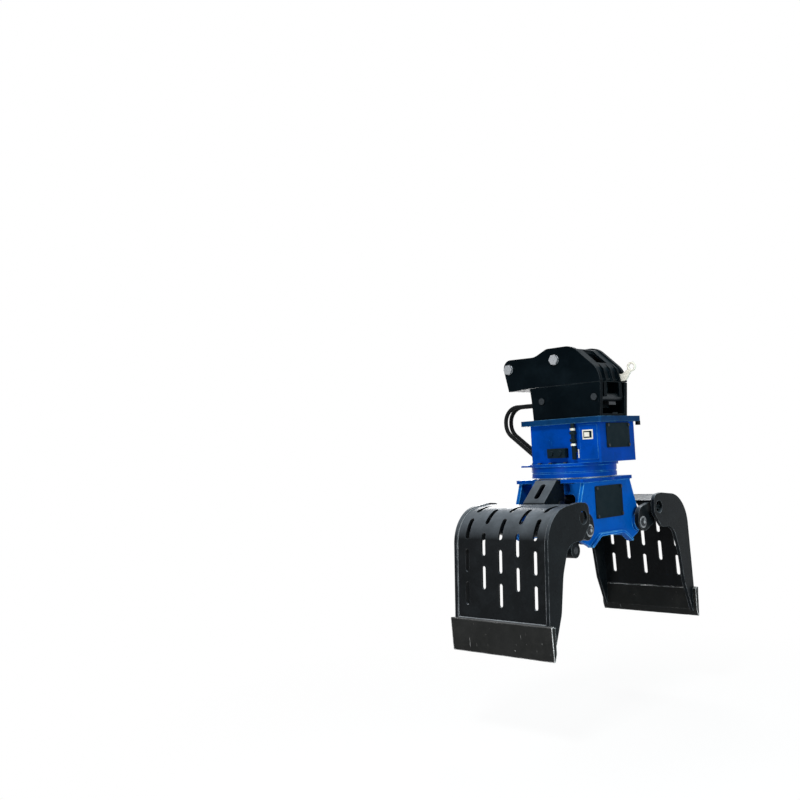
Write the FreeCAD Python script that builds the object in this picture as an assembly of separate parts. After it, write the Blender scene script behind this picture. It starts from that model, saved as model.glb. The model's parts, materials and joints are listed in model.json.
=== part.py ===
# Demolition grapple: quick hitch and bracket, slewing head, yoke, and two perforated shells.
# Millimetres. The origin is the centre of the arm pin, +X runs along the pins, +Z is up,
# and the carrying arm comes from +Y. The shells are modelled fully open.
import FreeCAD, Part
import math
import os

V = FreeCAD.Vector

# Pins of the hitch
pin_radius = 25.0
pin_spacing = 323.0
link_rise = 25.0
pin_play = 0.05
pin_head_radius = 29.0
pin_head = 16.0
pin_tail = 12.0
pin_collar_gap = 0.3
groove_width = 2.0
groove_depth = 1.0

# Hitch side plates
hitch_width = 280.0
hitch_plate = 25.0
ear_radius = 52.0
ear_depth = 131.0
hitch_depth = 122.0
hump_height = 93.0
hump_front = 52.0
hump_rear = 117.0
valley_run = 138.0
valley_height = 54.0
shoulder_run = 275.0
shoulder_drop = 50.0
chin_setback = 140.0
hitch_tail = 291.0
lifting_eye_x = 100.0
lifting_eye_plate = 12.0
lifting_eye_reach = 55.0
lifting_eye_drop = 40.0
lifting_ring_radius = 21.0
lifting_ring_bar = 7.0
seam = 1.5

# Hitch cross pieces
floor_plate = 15.0
cover_plate = 12.0
cover_sink = 14.0
cover_window_width = 104.0
cover_window_start = 130.0
cover_window_length = 90.0
rib_plate = 10.0
rib_spacing = 70.0
rib_foot = 4.0
cross_tube_radius = 34.0
cross_tube_wall = 8.0
cross_tube_drop = 58.0
claw_plate = 25.0
claw_inset = 24.0
claw_play = 0.4
claw_drop = 44.0
lock_stroke = 50.0
lock_bar_height = 22.0
lock_bar_width = 70.0
lock_bar_nose = 24.0
lock_bar_reach = 80.0
lock_stem_radius = 9.0
lock_barrel_radius = 24.0
lock_barrel_length = 110.0
lock_barrel_start = 140.0
lock_hanger_width = 40.0
lock_hanger_length = 80.0
guide_wall = 12.0
guide_gap = 0.3
guide_start = 30.0
guide_length = 42.0

# Bracket under the hitch
bracket_pin_radius = 22.0
bracket_pin_end_radius = 14.0
bracket_pin_head = 9.0
bracket_pin_head_radius = 18.5
bracket_pin_spacing = 347.0
bracket_pin_height = 109.0
bracket_front = 174.0
bracket_base = 15.0
bracket_base_rear = 280.0
bracket_base_setback = 20.0
base_bolt_spread = 86.0
base_bolt_rows = (118.0, 10.0, -110.0, -240.0)
front_pin_setback = 223.0

# Slewing head: places along Y are taken from the slew axis
slew_setback = 315.0
slew_depth = 612.0
head_height = 299.0
head_top_plate = 30.0
head_top_front = 203.0
head_top_rear = 327.0
head_top_width = 424.0
box_front = 158.0
box_rear = 299.0
box_width = 368.0
box_wall = 12.0
box_floor = 15.0
seat_radius = 250.0
seat_plate = 16.0
seat_tab_reach = 10.0
seat_tab_near = 90.0
seat_tab_far = 150.0
seat_tab_plate = 10.0
cover_thickness = 6.0
cover_bolt_inset = 13.0
rear_cover_half = 118.0
rear_cover_low = 76.0
rear_cover_margin = 6.0
rear_window_margin = 36.0
side_cover_rear = 288.0
side_cover_front = 176.0
side_cover_low = 18.0
side_cover_margin = 10.0
side_window_margin = 24.0
port_block_rear = 94.0
port_block_front = 22.0
port_block_low = 82.0
port_block_high = 136.0
port_block_depth = 38.0
port_boss_reach = 50.0
port_boss_inset = 30.0

# Slew bearing and drive
bearing_height = 70.0
bearing_gap = 7.0
outer_ring_radius = 240.0
race_radius = 202.0
race_clearance = 1.0
roller_diameter = 14.0
roller_play = 0.3
roller_count = 20
gear_module = 5.0
ring_teeth = 64
pinion_teeth = 16
ring_addendum = 0.6
dedendum = 1.25
backlash = 0.5
pressure_angle = math.radians(20)
pinion_height = 44.0
pinion_bore_radius = 17.5
motor_radius = 55.0
motor_height = 105.0
shaft_share = 0.6
swivel_radius = 58.0
swivel_height = 130.0
port_boss_radius = 13.0
rotor_radius = 34.0
pipe_radius = 11.0
pipe_standoff = 20.0
pipe_setback = 143.0
pipe_nut_flats = 32.0
pipe_nut_height = 16.0
pipe_nut_places = (168.0, 208.0)

# Supply hoses, in front of the head
hose_radius = 12.0
hose_bend = 90.0
hose_places = (-88.0, -38.0)
hose_port_height = 78.0
hose_elbow_reach = 22.0
hose_sleeve_length = 30.0
hose_top_height = 392.0
hose_reach = 400.0
hose_knee_height = 250.0
hose_fitting_radius = 13.0
hose_sleeve_radius = 15.0
hose_stem_radius = 11.0
bulkhead_plate = 10.0
bulkhead_setback = 12.0
bulkhead_half = 34.0
back_nut_flats = 30.0
fitting_stem = 34.0
fitting_gap = 1.0

# Yoke
yoke_flange = 20.0
yoke_width = 434.0
yoke_plate = 22.0
yoke_top = 235.0
yoke_waist = 289.0
yoke_waist_depth = 195.0
yoke_belly_depth = 352.0
yoke_foot = 198.0
yoke_foot_depth = 407.0
belly_plate = 14.0
belly_overhang = 17.0
belly_lip = 6.0
belly_slope_run = 82.0
belly_bend = 40.0
web_spread = 138.0
web_plate = 14.0
web_window_margin = 25.0
yoke_boss_rise = 14.0
web_window_rise = 10.0
web_window_low = 20.0
panel_opening_margin = 50.0
panel_width = 274.0
panel_height = 178.0
panel_depth = 80.0

# Shell hinges and levers
hinge_spread = 278.0
hinge_depth = 307.0
hinge_pin_radius = 25.0
hinge_play = 0.08
hinge_eye = 55.0
bush_wall = 6.0
cylinder_pin_radius = 17.5
cylinder_pin_rise = 132.0
cylinder_pin_inset = 28.0
lever_gap = 88.0
lever_plate = 25.0
lever_top_depth = 40.0
lever_edge_run = 404.0
lever_edge_drop = 16.0
lever_slot_width = 34.0
lever_slot_share = 0.3
lever_heel = 38.0
slot_cover = 12.0
hub_wall = 18.0
lug_radius = 41.0
lug_out = 37.0
lug_drop = 104.0
lug_width = 60.0
lug_pin_radius = 17.5

# Shells
shell_width = 610.0
shell_side = 20.0
shell_skin = 12.0
skin_inset = 6.0
shell_back = 735.0
crest_depth = 150.0
crest_radius = 200.0
crest_end = 445.0
crest_fall = 28.0
corner_setback = 19.0
tip_flare = 12.0
throat_depth = 500.0
throat_run = 606.0
jaw_depth = 690.0
jaw_run = 640.0
neck_end = 338.0
neck_radius = 40.0
tie_near = 400.0
tie_far = 520.0
tie_depth = 220.0
tie_height = 20.0
side_hole_run = 395.0
side_hole_depth = 228.0
shell_tip_depth = 905.0
blade_width = 650.0
blade_thickness = 24.0
blade_height = 172.0
ear_plate = 26.0
ear_gap = 18.0
slot_width = 26.0
slot_length = 120.0
slot_pitch = 172.0
slot_start = 130.0
column_pitch = 110.0
side_hole_radius = 36.0

# Cylinder
barrel_radius = 42.0
bore_radius = 34.0
piston_rod_radius = 22.5
cylinder_eye = 34.0
barrel_length = 350.0
gland_length = 26.0
piston_length = 40.0
slide_play = 0.08

# Fasteners
small_bolt = 10.0
bearing_bolt = 12.0
large_bolt = 16.0

# Derived places
link_y = -pin_spacing
hitch_end = link_y - hitch_tail
slew_y = -slew_setback
slew_z = -slew_depth
head_top = slew_z + head_height
box_top = head_top - head_top_plate
bearing_top = slew_z + bearing_height / 2
box_low = bearing_top + seat_plate
floor_top = box_low + box_floor
bearing_low = slew_z - bearing_height / 2
hitch_inner = hitch_width / 2 - hitch_plate
hinge_z = slew_z - hinge_depth
cylinder_pin_x = hinge_spread - cylinder_pin_inset
cylinder_pin_z = hinge_z + cylinder_pin_rise
yoke_flange_low = bearing_low - yoke_flange
yoke_face = yoke_width / 2
yoke_inner = yoke_face - yoke_plate
shell_face = shell_width / 2
shell_inner = shell_face - shell_side
ear_inner = yoke_face + ear_gap
ear_face = ear_inner + ear_plate
lever_inner = lever_gap / 2
lever_face = lever_inner + lever_plate

AXES = {
    "x": (V(0, 1, 0), V(0, 0, 1), V(1, 0, 0)),
    "y": (V(1, 0, 0), V(0, 0, 1), V(0, 1, 0)),
    "z": (V(1, 0, 0), V(0, 1, 0), V(0, 0, 1)),
}


def rounded_wire(corners):
    """Closed wire of straight runs, with a tangent arc of its own radius at each corner."""
    arcs = []
    for i, (here, radius) in enumerate(corners):
        back = (corners[i - 1][0] - here).normalize()
        ahead = (corners[(i + 1) % len(corners)][0] - here).normalize()
        half = back.getAngle(ahead) / 2
        reach = radius / math.tan(half)
        towards = (back + ahead).normalize()
        middle = here + towards * (radius / math.sin(half) - radius)
        arcs.append((here + back * reach, middle, here + ahead * reach, radius))
    edges = []
    for i, (first, middle, last, radius) in enumerate(arcs):
        previous = arcs[i - 1][2]
        if (first - previous).Length > 1e-6:
            edges.append(Part.LineSegment(previous, first).toShape())
        if radius:
            edges.append(Part.Arc(first, middle, last).toShape())
    return Part.Wire(edges)


def plate(axis, outline, low, high):
    """Flat piece: an outline of (a, b, corner radius) across the axis, filled from low to high."""
    across, up, along = AXES[axis]
    corners = [(across * a + up * b + along * low, r) for a, b, r in outline]
    return Part.Face(rounded_wire(corners)).extrude(along * (high - low))


def box(x, y, z):
    """Block between pairs of places along X, Y and Z."""
    corner = V(min(x), min(y), min(z))
    return Part.makeBox(max(x) - min(x), max(y) - min(y), max(z) - min(z), corner)


def rod(axis, a, b, radius, low, high):
    """Round bar along an axis."""
    across, up, along = AXES[axis]
    return Part.makeCylinder(radius, high - low, across * a + up * b + along * low, along)


def tube(axis, a, b, outer, inner, low, high):
    """Round tube along an axis."""
    return rod(axis, a, b, outer, low, high).cut(rod(axis, a, b, inner, low, high))


def rectangle(low_a, high_a, low_b, high_b, radius=0.0):
    """Outline of a rectangle with rounded corners."""
    corners = ((low_a, low_b), (high_a, low_b), (high_a, high_b), (low_a, high_b))
    return [(a, b, radius) for a, b in corners]


def shrunk(sides, margin, radius):
    """Outline of a rectangle (low a, high a, low b, high b), smaller all round by a margin."""
    low_a, high_a, low_b, high_b = sides
    return rectangle(low_a + margin, high_a - margin, low_b + margin, high_b - margin, radius)


def bent_strip(points, thickness):
    """Outline of a sheet of one thickness, bent along points (a, b, outer bend radius)."""
    inner = []
    for i, (a, b, r) in enumerate(points):
        here = V(a, b, 0)
        behind = here - V(*points[i - 1][:2], 0) if i else None
        ahead = V(*points[i + 1][:2], 0) - here if i + 1 < len(points) else None
        behind = (behind or V(ahead)).normalize()
        ahead = (ahead or V(behind)).normalize()
        side = (V(-behind.y, behind.x, 0) + V(-ahead.y, ahead.x, 0)).normalize()
        lean = side.dot(V(-ahead.y, ahead.x, 0))
        moved = here + side * (thickness / lean)
        inner.append((moved.x, moved.y, max(r - thickness, 0.0)))
    return list(points) + inner[::-1]


def hexagon(a, b, across_flats):
    """Outline of a hexagon."""
    corner = across_flats / math.sqrt(3)
    angles = [math.radians(60 * k) for k in range(6)]
    return [(a + corner * math.cos(t), b + corner * math.sin(t), 0) for t in angles]


def bolt(axis, a, b, face, out, size, grip):
    """Hexagon bolt: a head that stands out from its face, and a shank that runs back into it."""
    head = face + out * size * 0.65
    shank = face - out * grip
    piece = plate(axis, hexagon(a, b, size * 1.6), min(face, head), max(face, head))
    return piece.fuse(rod(axis, a, b, size / 2, min(shank, face), max(shank, face)))


def bolt_hole(axis, a, b, face, out, size, grip):
    """Hole for such a bolt."""
    ends = (face + out, face - out * (grip + 1))
    return rod(axis, a, b, size / 2 + 0.5, min(ends), max(ends))


def cut_all(shape, tools):
    """A shape less several others."""
    for tool in tools:
        shape = shape.cut(tool)
    return shape


def joined(shapes):
    """Several overlapping or touching shapes as one solid."""
    return shapes[0].fuse(shapes[1:]).removeSplitter()


def mirrored(shape):
    """A shape's mirror image across the plane X = 0."""
    return shape.mirror(V(0, 0, 0), V(1, 0, 0))


def flipped(shape):
    """A shape's mirror image across the middle of the grapple's width."""
    return shape.mirror(V(0, slew_y, 0), V(0, 1, 0))


def turned(shape):
    """A shape turned half round the slew axis, from one shell's place to the other's."""
    half_turn = shape.copy()
    half_turn.rotate(V(0, slew_y, 0), V(0, 0, 1), 180)
    return half_turn


def both(shape):
    """A shape and its mirror image across X = 0, as separate solids."""
    return [shape, mirrored(shape)]


def save(name, shapes):
    """Writes one node: one solid, or a group of separate solids."""
    if not isinstance(shapes, list):
        shapes = [shapes]
    solids = [solid for shape in shapes for solid in shape.Solids]
    whole = solids[0] if len(solids) == 1 else Part.makeCompound(solids)
    if not all(solid.isValid() for solid in solids):
        raise ValueError(name + " holds a broken solid")
    whole.exportStep("parts/" + name + ".step")
    print(name, len(solids), round(sum(solid.Volume for solid in solids)))


# Hitch

def hitch_outline():
    """Side plate of the hitch: an ear round the arm pin, a valley, and a hump over the link pin."""
    return [
        (10.0, -ear_depth, 5),
        (ear_radius, ear_radius + 6, ear_radius - 2),
        (link_y + valley_run, valley_height, 100),
        (link_y + hump_front, hump_height, 60),
        (link_y - hump_rear, hump_height, 110),
        (link_y - shoulder_run, -shoulder_drop, 120),
        (hitch_end, -hitch_depth, 6),
        (-chin_setback, -hitch_depth, 12),
    ]


def pin_bores(radius, low, high):
    """The two hitch pins' bores along X."""
    return [rod("x", 0, 0, radius, low, high), rod("x", link_y, link_rise, radius, low, high)]


def hitch_plates():
    """Two side plates, drilled for both pins."""
    outer = hitch_width / 2
    side = plate("x", hitch_outline(), hitch_inner, outer)
    return both(cut_all(side, pin_bores(pin_radius + pin_play, hitch_inner - 1, outer + 1)))


def hitch_pin(y, z):
    """Hexagon-headed pin, with its head at -X and a relief groove beside each side plate."""
    outer = hitch_width / 2
    seat = -outer - pin_head / 4
    shaft = rod("x", y, z, pin_radius, seat, outer + pin_tail)
    collar = rod("x", y, z, pin_head_radius, seat, -outer - pin_collar_gap)
    head = plate("x", hexagon(y, z, pin_head_radius * 1.8), -outer - pin_head, seat)
    pin = joined([shaft, collar, head])
    neck = pin_radius - groove_depth
    groove = tube("x", y, z, pin_radius + 1, neck, hitch_inner - groove_width, hitch_inner)
    return cut_all(pin, both(groove))


def hitch_floor():
    """Cross plate that closes the hitch's belly, from the ear back to the tail."""
    points = [
        (4, -ear_depth + floor_plate + 2, 0),
        (-chin_setback, -hitch_depth + floor_plate, 30),
        (hitch_end + cover_plate + 2, -hitch_depth + floor_plate, 0),
    ]
    return plate("x", bent_strip(points, floor_plate), -hitch_inner, hitch_inner)


def hitch_tube():
    """Round cross tube between the two pins."""
    y = -pin_spacing / 2
    bore = cross_tube_radius - cross_tube_wall
    return tube("x", y, -cross_tube_drop, cross_tube_radius, bore, -hitch_inner, hitch_inner)


def hitch_cover():
    """Bent plate that follows the back of the hump, with a window over the lock."""
    points = [
        (link_y - hump_rear + cover_plate, hump_height - cover_sink, 0),
        (link_y - hump_rear - 5, hump_height - cover_sink, 30),
        (link_y - shoulder_run + cover_plate + 1, 2 - shoulder_drop, 60),
        (hitch_end + cover_plate + 4, -hitch_depth + floor_plate, 0),
    ]
    sheet = plate("x", bent_strip(points, cover_plate), -hitch_inner, hitch_inner)
    half = cover_window_width / 2
    start = link_y - cover_window_start
    window = box((-half, half), (start - cover_window_length, start), (-20, hump_height + 20))
    return sheet.cut(window).cut(hitch_floor())


def hitch_ribs():
    """Three upright ribs on the back of the cover plate."""
    outline = [
        (link_y - shoulder_run + 35, 36 - shoulder_drop, 0),
        (link_y - shoulder_run + 3, 4 - shoulder_drop, 0),
        (hitch_end + 2, rib_foot - hitch_depth, 4),
        (hitch_end + cover_plate + 2, rib_foot - hitch_depth, 0),
        (hitch_end + 2 * cover_plate + 2, -shoulder_drop - 10, 0),
    ]
    half = rib_plate / 2
    ribs = [plate("x", outline, x - half, x + half) for x in (-rib_spacing, 0, rib_spacing)]
    return [rib.cut(hitch_cover()).cut(hitch_floor()) for rib in ribs]


def lifting_eye():
    """Ring on an upright arm that stands on the tail of the hitch."""
    y = hitch_end - lifting_eye_reach
    z = -lifting_eye_drop
    ring = Part.makeTorus(lifting_ring_radius, lifting_ring_bar, V(lifting_eye_x, y, z), V(1, 0, 0))
    low = lifting_eye_x - lifting_eye_plate / 2
    high = lifting_eye_x + lifting_eye_plate / 2
    outline = [
        (hitch_end + 34, z - 78, 0),
        (hitch_end - 18, z - 74, 12),
        (y + 2, z - 25, 0),
        (y + 26, z - 14, 0),
        (hitch_end + 6, z - 38, 10),
        (hitch_end + 34, z - 30, 0),
    ]
    arm = plate("x", outline, low, high)
    hole = rod("x", y, z, lifting_ring_radius - 5, low - 1, high + 1)
    arm = cut_all(arm, [hole, hitch_cover(), hitch_floor()])
    outside = min(arm.Solids, key=lambda solid: solid.CenterOfMass.y)
    return joined([ring, outside])


# Bracket

front_pin_y = -front_pin_setback
rear_pin_y = front_pin_y - bracket_pin_spacing
bracket_pin_z = head_top + bracket_pin_height


def bracket_outline():
    """Side plate of the bracket, between the hitch and the head's top plate."""
    top = -hitch_depth - seam
    front = slew_y + bracket_front
    return [
        (front - 15, head_top, 0),
        (front - 8, bracket_pin_z + 8, 200),
        (front, top, 3),
        (hitch_end + 2, top, 3),
        (hitch_end + 16, head_top, 0),
    ]


def bracket_plates():
    """Two side plates, drilled for the ends of the two cross pins."""
    outer = hitch_width / 2
    side = plate("x", bracket_outline(), hitch_inner, outer)
    bore = bracket_pin_end_radius + pin_play
    places = (front_pin_y, rear_pin_y)
    bores = [rod("x", y, bracket_pin_z, bore, hitch_inner - 1, outer + 1) for y in places]
    return both(cut_all(side, bores))


def bracket_pin(y):
    """Cross pin between the plates, stepped down through them, with a round head at each end."""
    outer = hitch_width / 2
    middle = rod("x", y, bracket_pin_z, bracket_pin_radius, -hitch_inner, hitch_inner)
    ends = rod("x", y, bracket_pin_z, bracket_pin_end_radius, -outer, outer)
    head = rod("x", y, bracket_pin_z, bracket_pin_head_radius, -outer - bracket_pin_head, -outer)
    return joined([middle, ends, head, mirrored(head)])


base_bolt_places = [(x, slew_y + y) for x in (-base_bolt_spread, base_bolt_spread) for y in base_bolt_rows]


def bracket_floor():
    """Base plate of the bracket, bolted down on the head."""
    front = slew_y + bracket_front - bracket_base_setback
    outline = rectangle(-hitch_inner, hitch_inner, slew_y - bracket_base_rear, front)
    floor = plate("z", outline, head_top, head_top + bracket_base)
    face = head_top + bracket_base
    holes = [bolt_hole("z", x, y, face, 1, large_bolt, bracket_base) for x, y in base_bolt_places]
    return cut_all(floor, holes)


def base_bolts():
    """Bolts that hold the bracket on the head."""
    grip = bracket_base + head_top_plate - 4
    return [bolt("z", x, y, head_top + bracket_base, 1, large_bolt, grip) for x, y in base_bolt_places]


claw_outer = hitch_inner - claw_inset
claw_top = -hitch_depth
hose_top_z = slew_z + hose_top_height
bulkhead_y = slew_y + bracket_front - bulkhead_setback


def front_claws():
    """Hooks under the hitch that take the bracket's front pin, clear of the hoses' fittings."""
    y = front_pin_y
    z = bracket_pin_z
    radius = bracket_pin_radius + claw_play
    outline = [
        (y - 50, claw_top, 0),
        (y - 50, z - claw_drop, 26),
        (y + 34, z - claw_drop, 14),
        (y + 34, z - radius, 4),
        (y, z - radius, 0),
        (y, z + radius, 0),
        (y + 46, z + radius, 6),
        (y + 52, claw_top, 0),
    ]
    claw = plate("x", outline, claw_outer - claw_plate, claw_outer)
    claws = both(claw.cut(rod("x", y, z, radius, 0, hitch_inner)))
    return [cut_all(piece, [fitting_room(x) for x in hose_places]) for piece in claws]


def fitting_room(x):
    """Room behind the bulkhead for one hose's fitting, with its clearance all round."""
    radius = back_nut_flats / math.sqrt(3) + fitting_gap
    rear = bulkhead_y - fitting_stem - fitting_gap
    return rod("y", x, hose_top_z, radius, rear, bulkhead_y)


def rear_saddles():
    """Half-round saddles under the hitch that sit on the bracket's rear pin."""
    y = rear_pin_y
    z = bracket_pin_z
    outline = [
        (y - 34, claw_top, 0),
        (y - 34, z, 6),
        (y + 60, z, 10),
        (y + 80, claw_top, 0),
    ]
    saddle = plate("x", outline, claw_outer - claw_plate, claw_outer)
    return both(saddle.cut(rod("x", y, z, bracket_pin_radius + claw_play, 0, hitch_inner)))


lock_z = bracket_pin_z - bracket_pin_radius - 0.5
lock_low = lock_z - lock_bar_height
lock_rod_y = rear_pin_y + lock_barrel_start
lock_cylinder_z = lock_z - lock_bar_height / 2


def lock_bar():
    """Wedge that slides under the rear pin, with its piston rod."""
    outline = [
        (rear_pin_y - lock_bar_nose, lock_low, 0),
        (rear_pin_y - lock_bar_nose, lock_z - 6, 0),
        (rear_pin_y - lock_bar_nose / 2, lock_z, 0),
        (rear_pin_y + lock_bar_reach, lock_z, 4),
        (rear_pin_y + lock_bar_reach, lock_low, 4),
    ]
    wedge = plate("x", outline, -lock_bar_width / 2, lock_bar_width / 2)
    root = rear_pin_y + lock_bar_reach - 10
    stem = rod("y", 0, lock_cylinder_z, lock_stem_radius, root, lock_rod_y + 40)
    return joined([wedge, stem])


def lock_guide():
    """Guide that carries the wedge under the hitch."""
    width = lock_bar_width / 2 + guide_gap
    low = lock_low - guide_gap
    outline = [
        (-width - guide_wall, -hitch_depth, 0),
        (-width - guide_wall, low - guide_wall, 0),
        (width + guide_wall, low - guide_wall, 0),
        (width + guide_wall, -hitch_depth, 0),
        (width, -hitch_depth, 0),
        (width, low, 0),
        (-width, low, 0),
        (-width, -hitch_depth, 0),
    ]
    start = rear_pin_y + guide_start
    return plate("y", outline, start, start + guide_length)


def lock_cylinder():
    """Barrel that moves the locking wedge, on a foot on the bracket side of the hitch floor."""
    end = lock_rod_y + lock_barrel_length
    body = rod("y", 0, lock_cylinder_z, lock_barrel_radius, lock_rod_y, end)
    hollow = rod("y", 0, lock_cylinder_z, lock_stem_radius + slide_play, lock_rod_y - 1, end - 12)
    half = lock_hanger_width / 2
    low_y = lock_rod_y + (lock_barrel_length - lock_hanger_length) / 2
    hanger = box((-half, half), (low_y, low_y + lock_hanger_length), (lock_cylinder_z, -hitch_depth))
    return joined([body, hanger]).cut(hollow)


# Slewing head

def cover_bolt_places(low_a, high_a, low_b, high_b, inset):
    """Four corner bolts of a cover plate."""
    return [(a, b) for a in (low_a + inset, high_a - inset) for b in (low_b + inset, high_b - inset)]


hose_port_z = slew_z + hose_port_height
rear_cover = (-rear_cover_half, rear_cover_half, box_low + rear_cover_low, box_top - rear_cover_margin)
side_cover = (
    slew_y - side_cover_rear,
    slew_y - side_cover_front,
    box_low + side_cover_low,
    box_top - side_cover_margin,
)
port_block = (
    slew_y - port_block_rear,
    slew_y + port_block_front,
    slew_z + port_block_low,
    slew_z + port_block_high,
)


def head_top_piece():
    """Top plate of the head, drilled for the bracket's bolts."""
    rear = slew_y - head_top_rear
    front = slew_y + head_top_front
    outline = rectangle(-head_top_width / 2, head_top_width / 2, rear, front, 14)
    top = plate("z", outline, box_top, head_top)
    depth = head_top_plate - 4
    return cut_all(top, [bolt_hole("z", x, y, head_top, 1, large_bolt, depth) for x, y in base_bolt_places])


def head_box():
    """Welded housing: four walls round the slew motor, open above and below."""
    half = box_width / 2
    rear = slew_y - box_rear
    front = slew_y + box_front
    outside = plate("z", rectangle(-half, half, rear, front, 10), box_low, box_top)
    inside_outline = rectangle(-half + box_wall, half - box_wall, rear + box_wall, front - box_wall, 4)
    walls = outside.cut(plate("z", inside_outline, box_low - 1, box_top + 1))
    opening = shrunk(rear_cover, rear_window_margin, 8)
    windows = [plate("y", opening, rear - 1, rear + box_wall + 1)]
    opening = shrunk(side_cover, side_window_margin, 8)
    windows.append(plate("x", opening, -half - 1, -half + box_wall + 1))
    holes = [bolt_hole("y", x, z, rear, -1, small_bolt, box_wall - 2) for x, z in rear_cover_bolt_places]
    low_y, high_y, low_z, high_z = port_block
    for y in (low_y + port_boss_inset, high_y - port_boss_inset):
        holes.append(rod("x", y, (low_z + high_z) / 2, port_boss_radius + 1, -half - 1, -half + box_wall + 1))
    for x in hose_places:
        holes.append(rod("y", x, hose_port_z, hose_fitting_radius + 1, front - box_wall - 1, front + 1))
    return cut_all(walls, windows + holes)


rear_cover_bolt_places = cover_bolt_places(*rear_cover, cover_bolt_inset)


def rear_cover_plate():
    """Dark inspection cover on the housing's rear wall."""
    rear = slew_y - box_rear
    cover = plate("y", rectangle(*rear_cover, 10), rear - cover_thickness, rear)
    face = rear - cover_thickness
    places = rear_cover_bolt_places
    return cut_all(cover, [bolt_hole("y", x, z, face, -1, small_bolt, cover_thickness) for x, z in places])


def side_cover_plate():
    """Plain plate over the opening in the left wall."""
    wall = -box_width / 2
    return plate("x", rectangle(*side_cover, 8), wall - cover_thickness, wall)


def head_cover_bolts():
    """Bolts of the rear inspection cover."""
    rear = slew_y - box_rear - cover_thickness
    grip = cover_thickness + box_wall - 4
    return [bolt("y", x, z, rear, -1, small_bolt, grip) for x, z in rear_cover_bolt_places]


pinion_y = slew_y - gear_module * (ring_teeth - pinion_teeth) / 2


def head_floor():
    """Floor of the housing, on a round seat for the slew bearing."""
    half = box_width / 2 - box_wall
    rear = slew_y - box_rear + box_wall
    front = slew_y + box_front - box_wall
    slab = plate("z", rectangle(-half, half, rear, front, 4), box_low, floor_top)
    seat = rod("z", 0, slew_y, seat_radius, bearing_top, box_low)
    tab_ends = (slew_y + seat_radius * 0.7, slew_y + seat_radius + seat_tab_reach)
    tab = box((-seat_tab_far, -seat_tab_near), tab_ends, (bearing_top, bearing_top + seat_tab_plate))
    floor = joined([slab, seat, tab])
    holes = [rod("z", 0, slew_y, rotor_radius + 6, bearing_top - 1, floor_top + 1)]
    holes.append(rod("z", 0, pinion_y, motor_radius - 8, bearing_top - 1, floor_top + 1))
    for x, y in ring_bolt_places(outer_bolt_circle, outer_bolt_angles):
        holes.append(bolt_hole("z", x, y, floor_top, 1, bearing_bolt, floor_top - bearing_top))
    return cut_all(floor, holes)


def ring_bolt_places(circle, angles):
    """Places round a bolt circle of the slew bearing."""
    turns = [math.radians(angle) for angle in angles]
    return [(circle * math.cos(t), slew_y + circle * math.sin(t)) for t in turns]


outer_bolt_circle = race_radius + 25
inner_bolt_circle = race_radius - 17
outer_bolt_angles = (0, 22, 62, 90, 118, 158, 180, 202, 240, 270, 300, 338)
quarter_bolt_angles = (12, 29, 54, 76)
half_bolt_angles = [side * angle for side in (1, -1) for angle in quarter_bolt_angles]
inner_bolt_angles = [turn + angle for turn in (0, 180) for angle in half_bolt_angles]


def race_groove(play):
    """Diamond groove for the rollers, turned about the slew axis."""
    reach = (roller_diameter + 2 * play) / math.sqrt(2)
    corners = [V(race_radius + reach, slew_y, slew_z), V(race_radius, slew_y, slew_z + reach)]
    corners += [V(race_radius - reach, slew_y, slew_z), V(race_radius, slew_y, slew_z - reach)]
    face = Part.Face(Part.makePolygon(corners + corners[:1]))
    return face.revolve(V(0, slew_y, 0), V(0, 0, 1), 360)


def outer_ring():
    """Outer ring of the slew bearing, bolted under the head, with its bolts' tapped holes."""
    low = bearing_low + bearing_gap
    ring = tube("z", 0, slew_y, outer_ring_radius, race_radius + race_clearance, low, bearing_top)
    lip = tube("z", 0, slew_y, outer_ring_radius + 1, outer_ring_radius - 4, slew_z - 4, slew_z + 4)
    places = ring_bolt_places(outer_bolt_circle, outer_bolt_angles)
    holes = [bolt_hole("z", x, y, bearing_top, 1, bearing_bolt, 24) for x, y in places]
    return cut_all(ring.cut(lip), [race_groove(roller_play)] + holes)


def gear_outline(teeth, radius_out, radius_in, widening):
    """Corners of an involute gear's outline; widening is added to each tooth at the pitch circle."""
    pitch = gear_module * teeth / 2
    base = pitch * math.cos(pressure_angle)
    involute = math.tan(pressure_angle) - pressure_angle
    half_tooth = (math.pi * gear_module / 2 + widening) / (2 * pitch)
    steps = 3
    flank = []
    for k in range(steps + 1):
        radius = radius_in + (radius_out - radius_in) * k / steps
        lean = math.acos(base / max(radius, base))
        flank.append((radius, half_tooth + involute - (math.tan(lean) - lean)))
    corners = []
    for tooth in range(teeth):
        centre = 2 * math.pi * tooth / teeth - math.pi / 2
        corners += [(r, centre - t) for r, t in flank]
        corners += [(r, centre + t) for r, t in reversed(flank)]
    return corners


def gear_solid(corners, y, low, high):
    """Solid of a gear's outline about an upright axis at X = 0."""
    points = [V(r * math.cos(t), y + r * math.sin(t), low) for r, t in corners]
    return Part.Face(Part.makePolygon(points + points[:1])).extrude(V(0, 0, high - low))


def inner_ring():
    """Inner ring of the slew bearing, with the slew gear cut in its bore."""
    pitch = gear_module * ring_teeth / 2
    top = bearing_top - bearing_gap
    ring = rod("z", 0, slew_y, race_radius - race_clearance, bearing_low, top)
    root = pitch + gear_module * dedendum
    spaces = gear_outline(ring_teeth, root, pitch - gear_module * ring_addendum, backlash)
    gear = gear_solid(spaces, slew_y, bearing_low - 1, top + 1)
    places = ring_bolt_places(inner_bolt_circle, inner_bolt_angles)
    holes = [bolt_hole("z", x, y, bearing_low, -1, bearing_bolt, 24) for x, y in places]
    return cut_all(ring.cut(gear), [race_groove(roller_play)] + holes)


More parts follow.
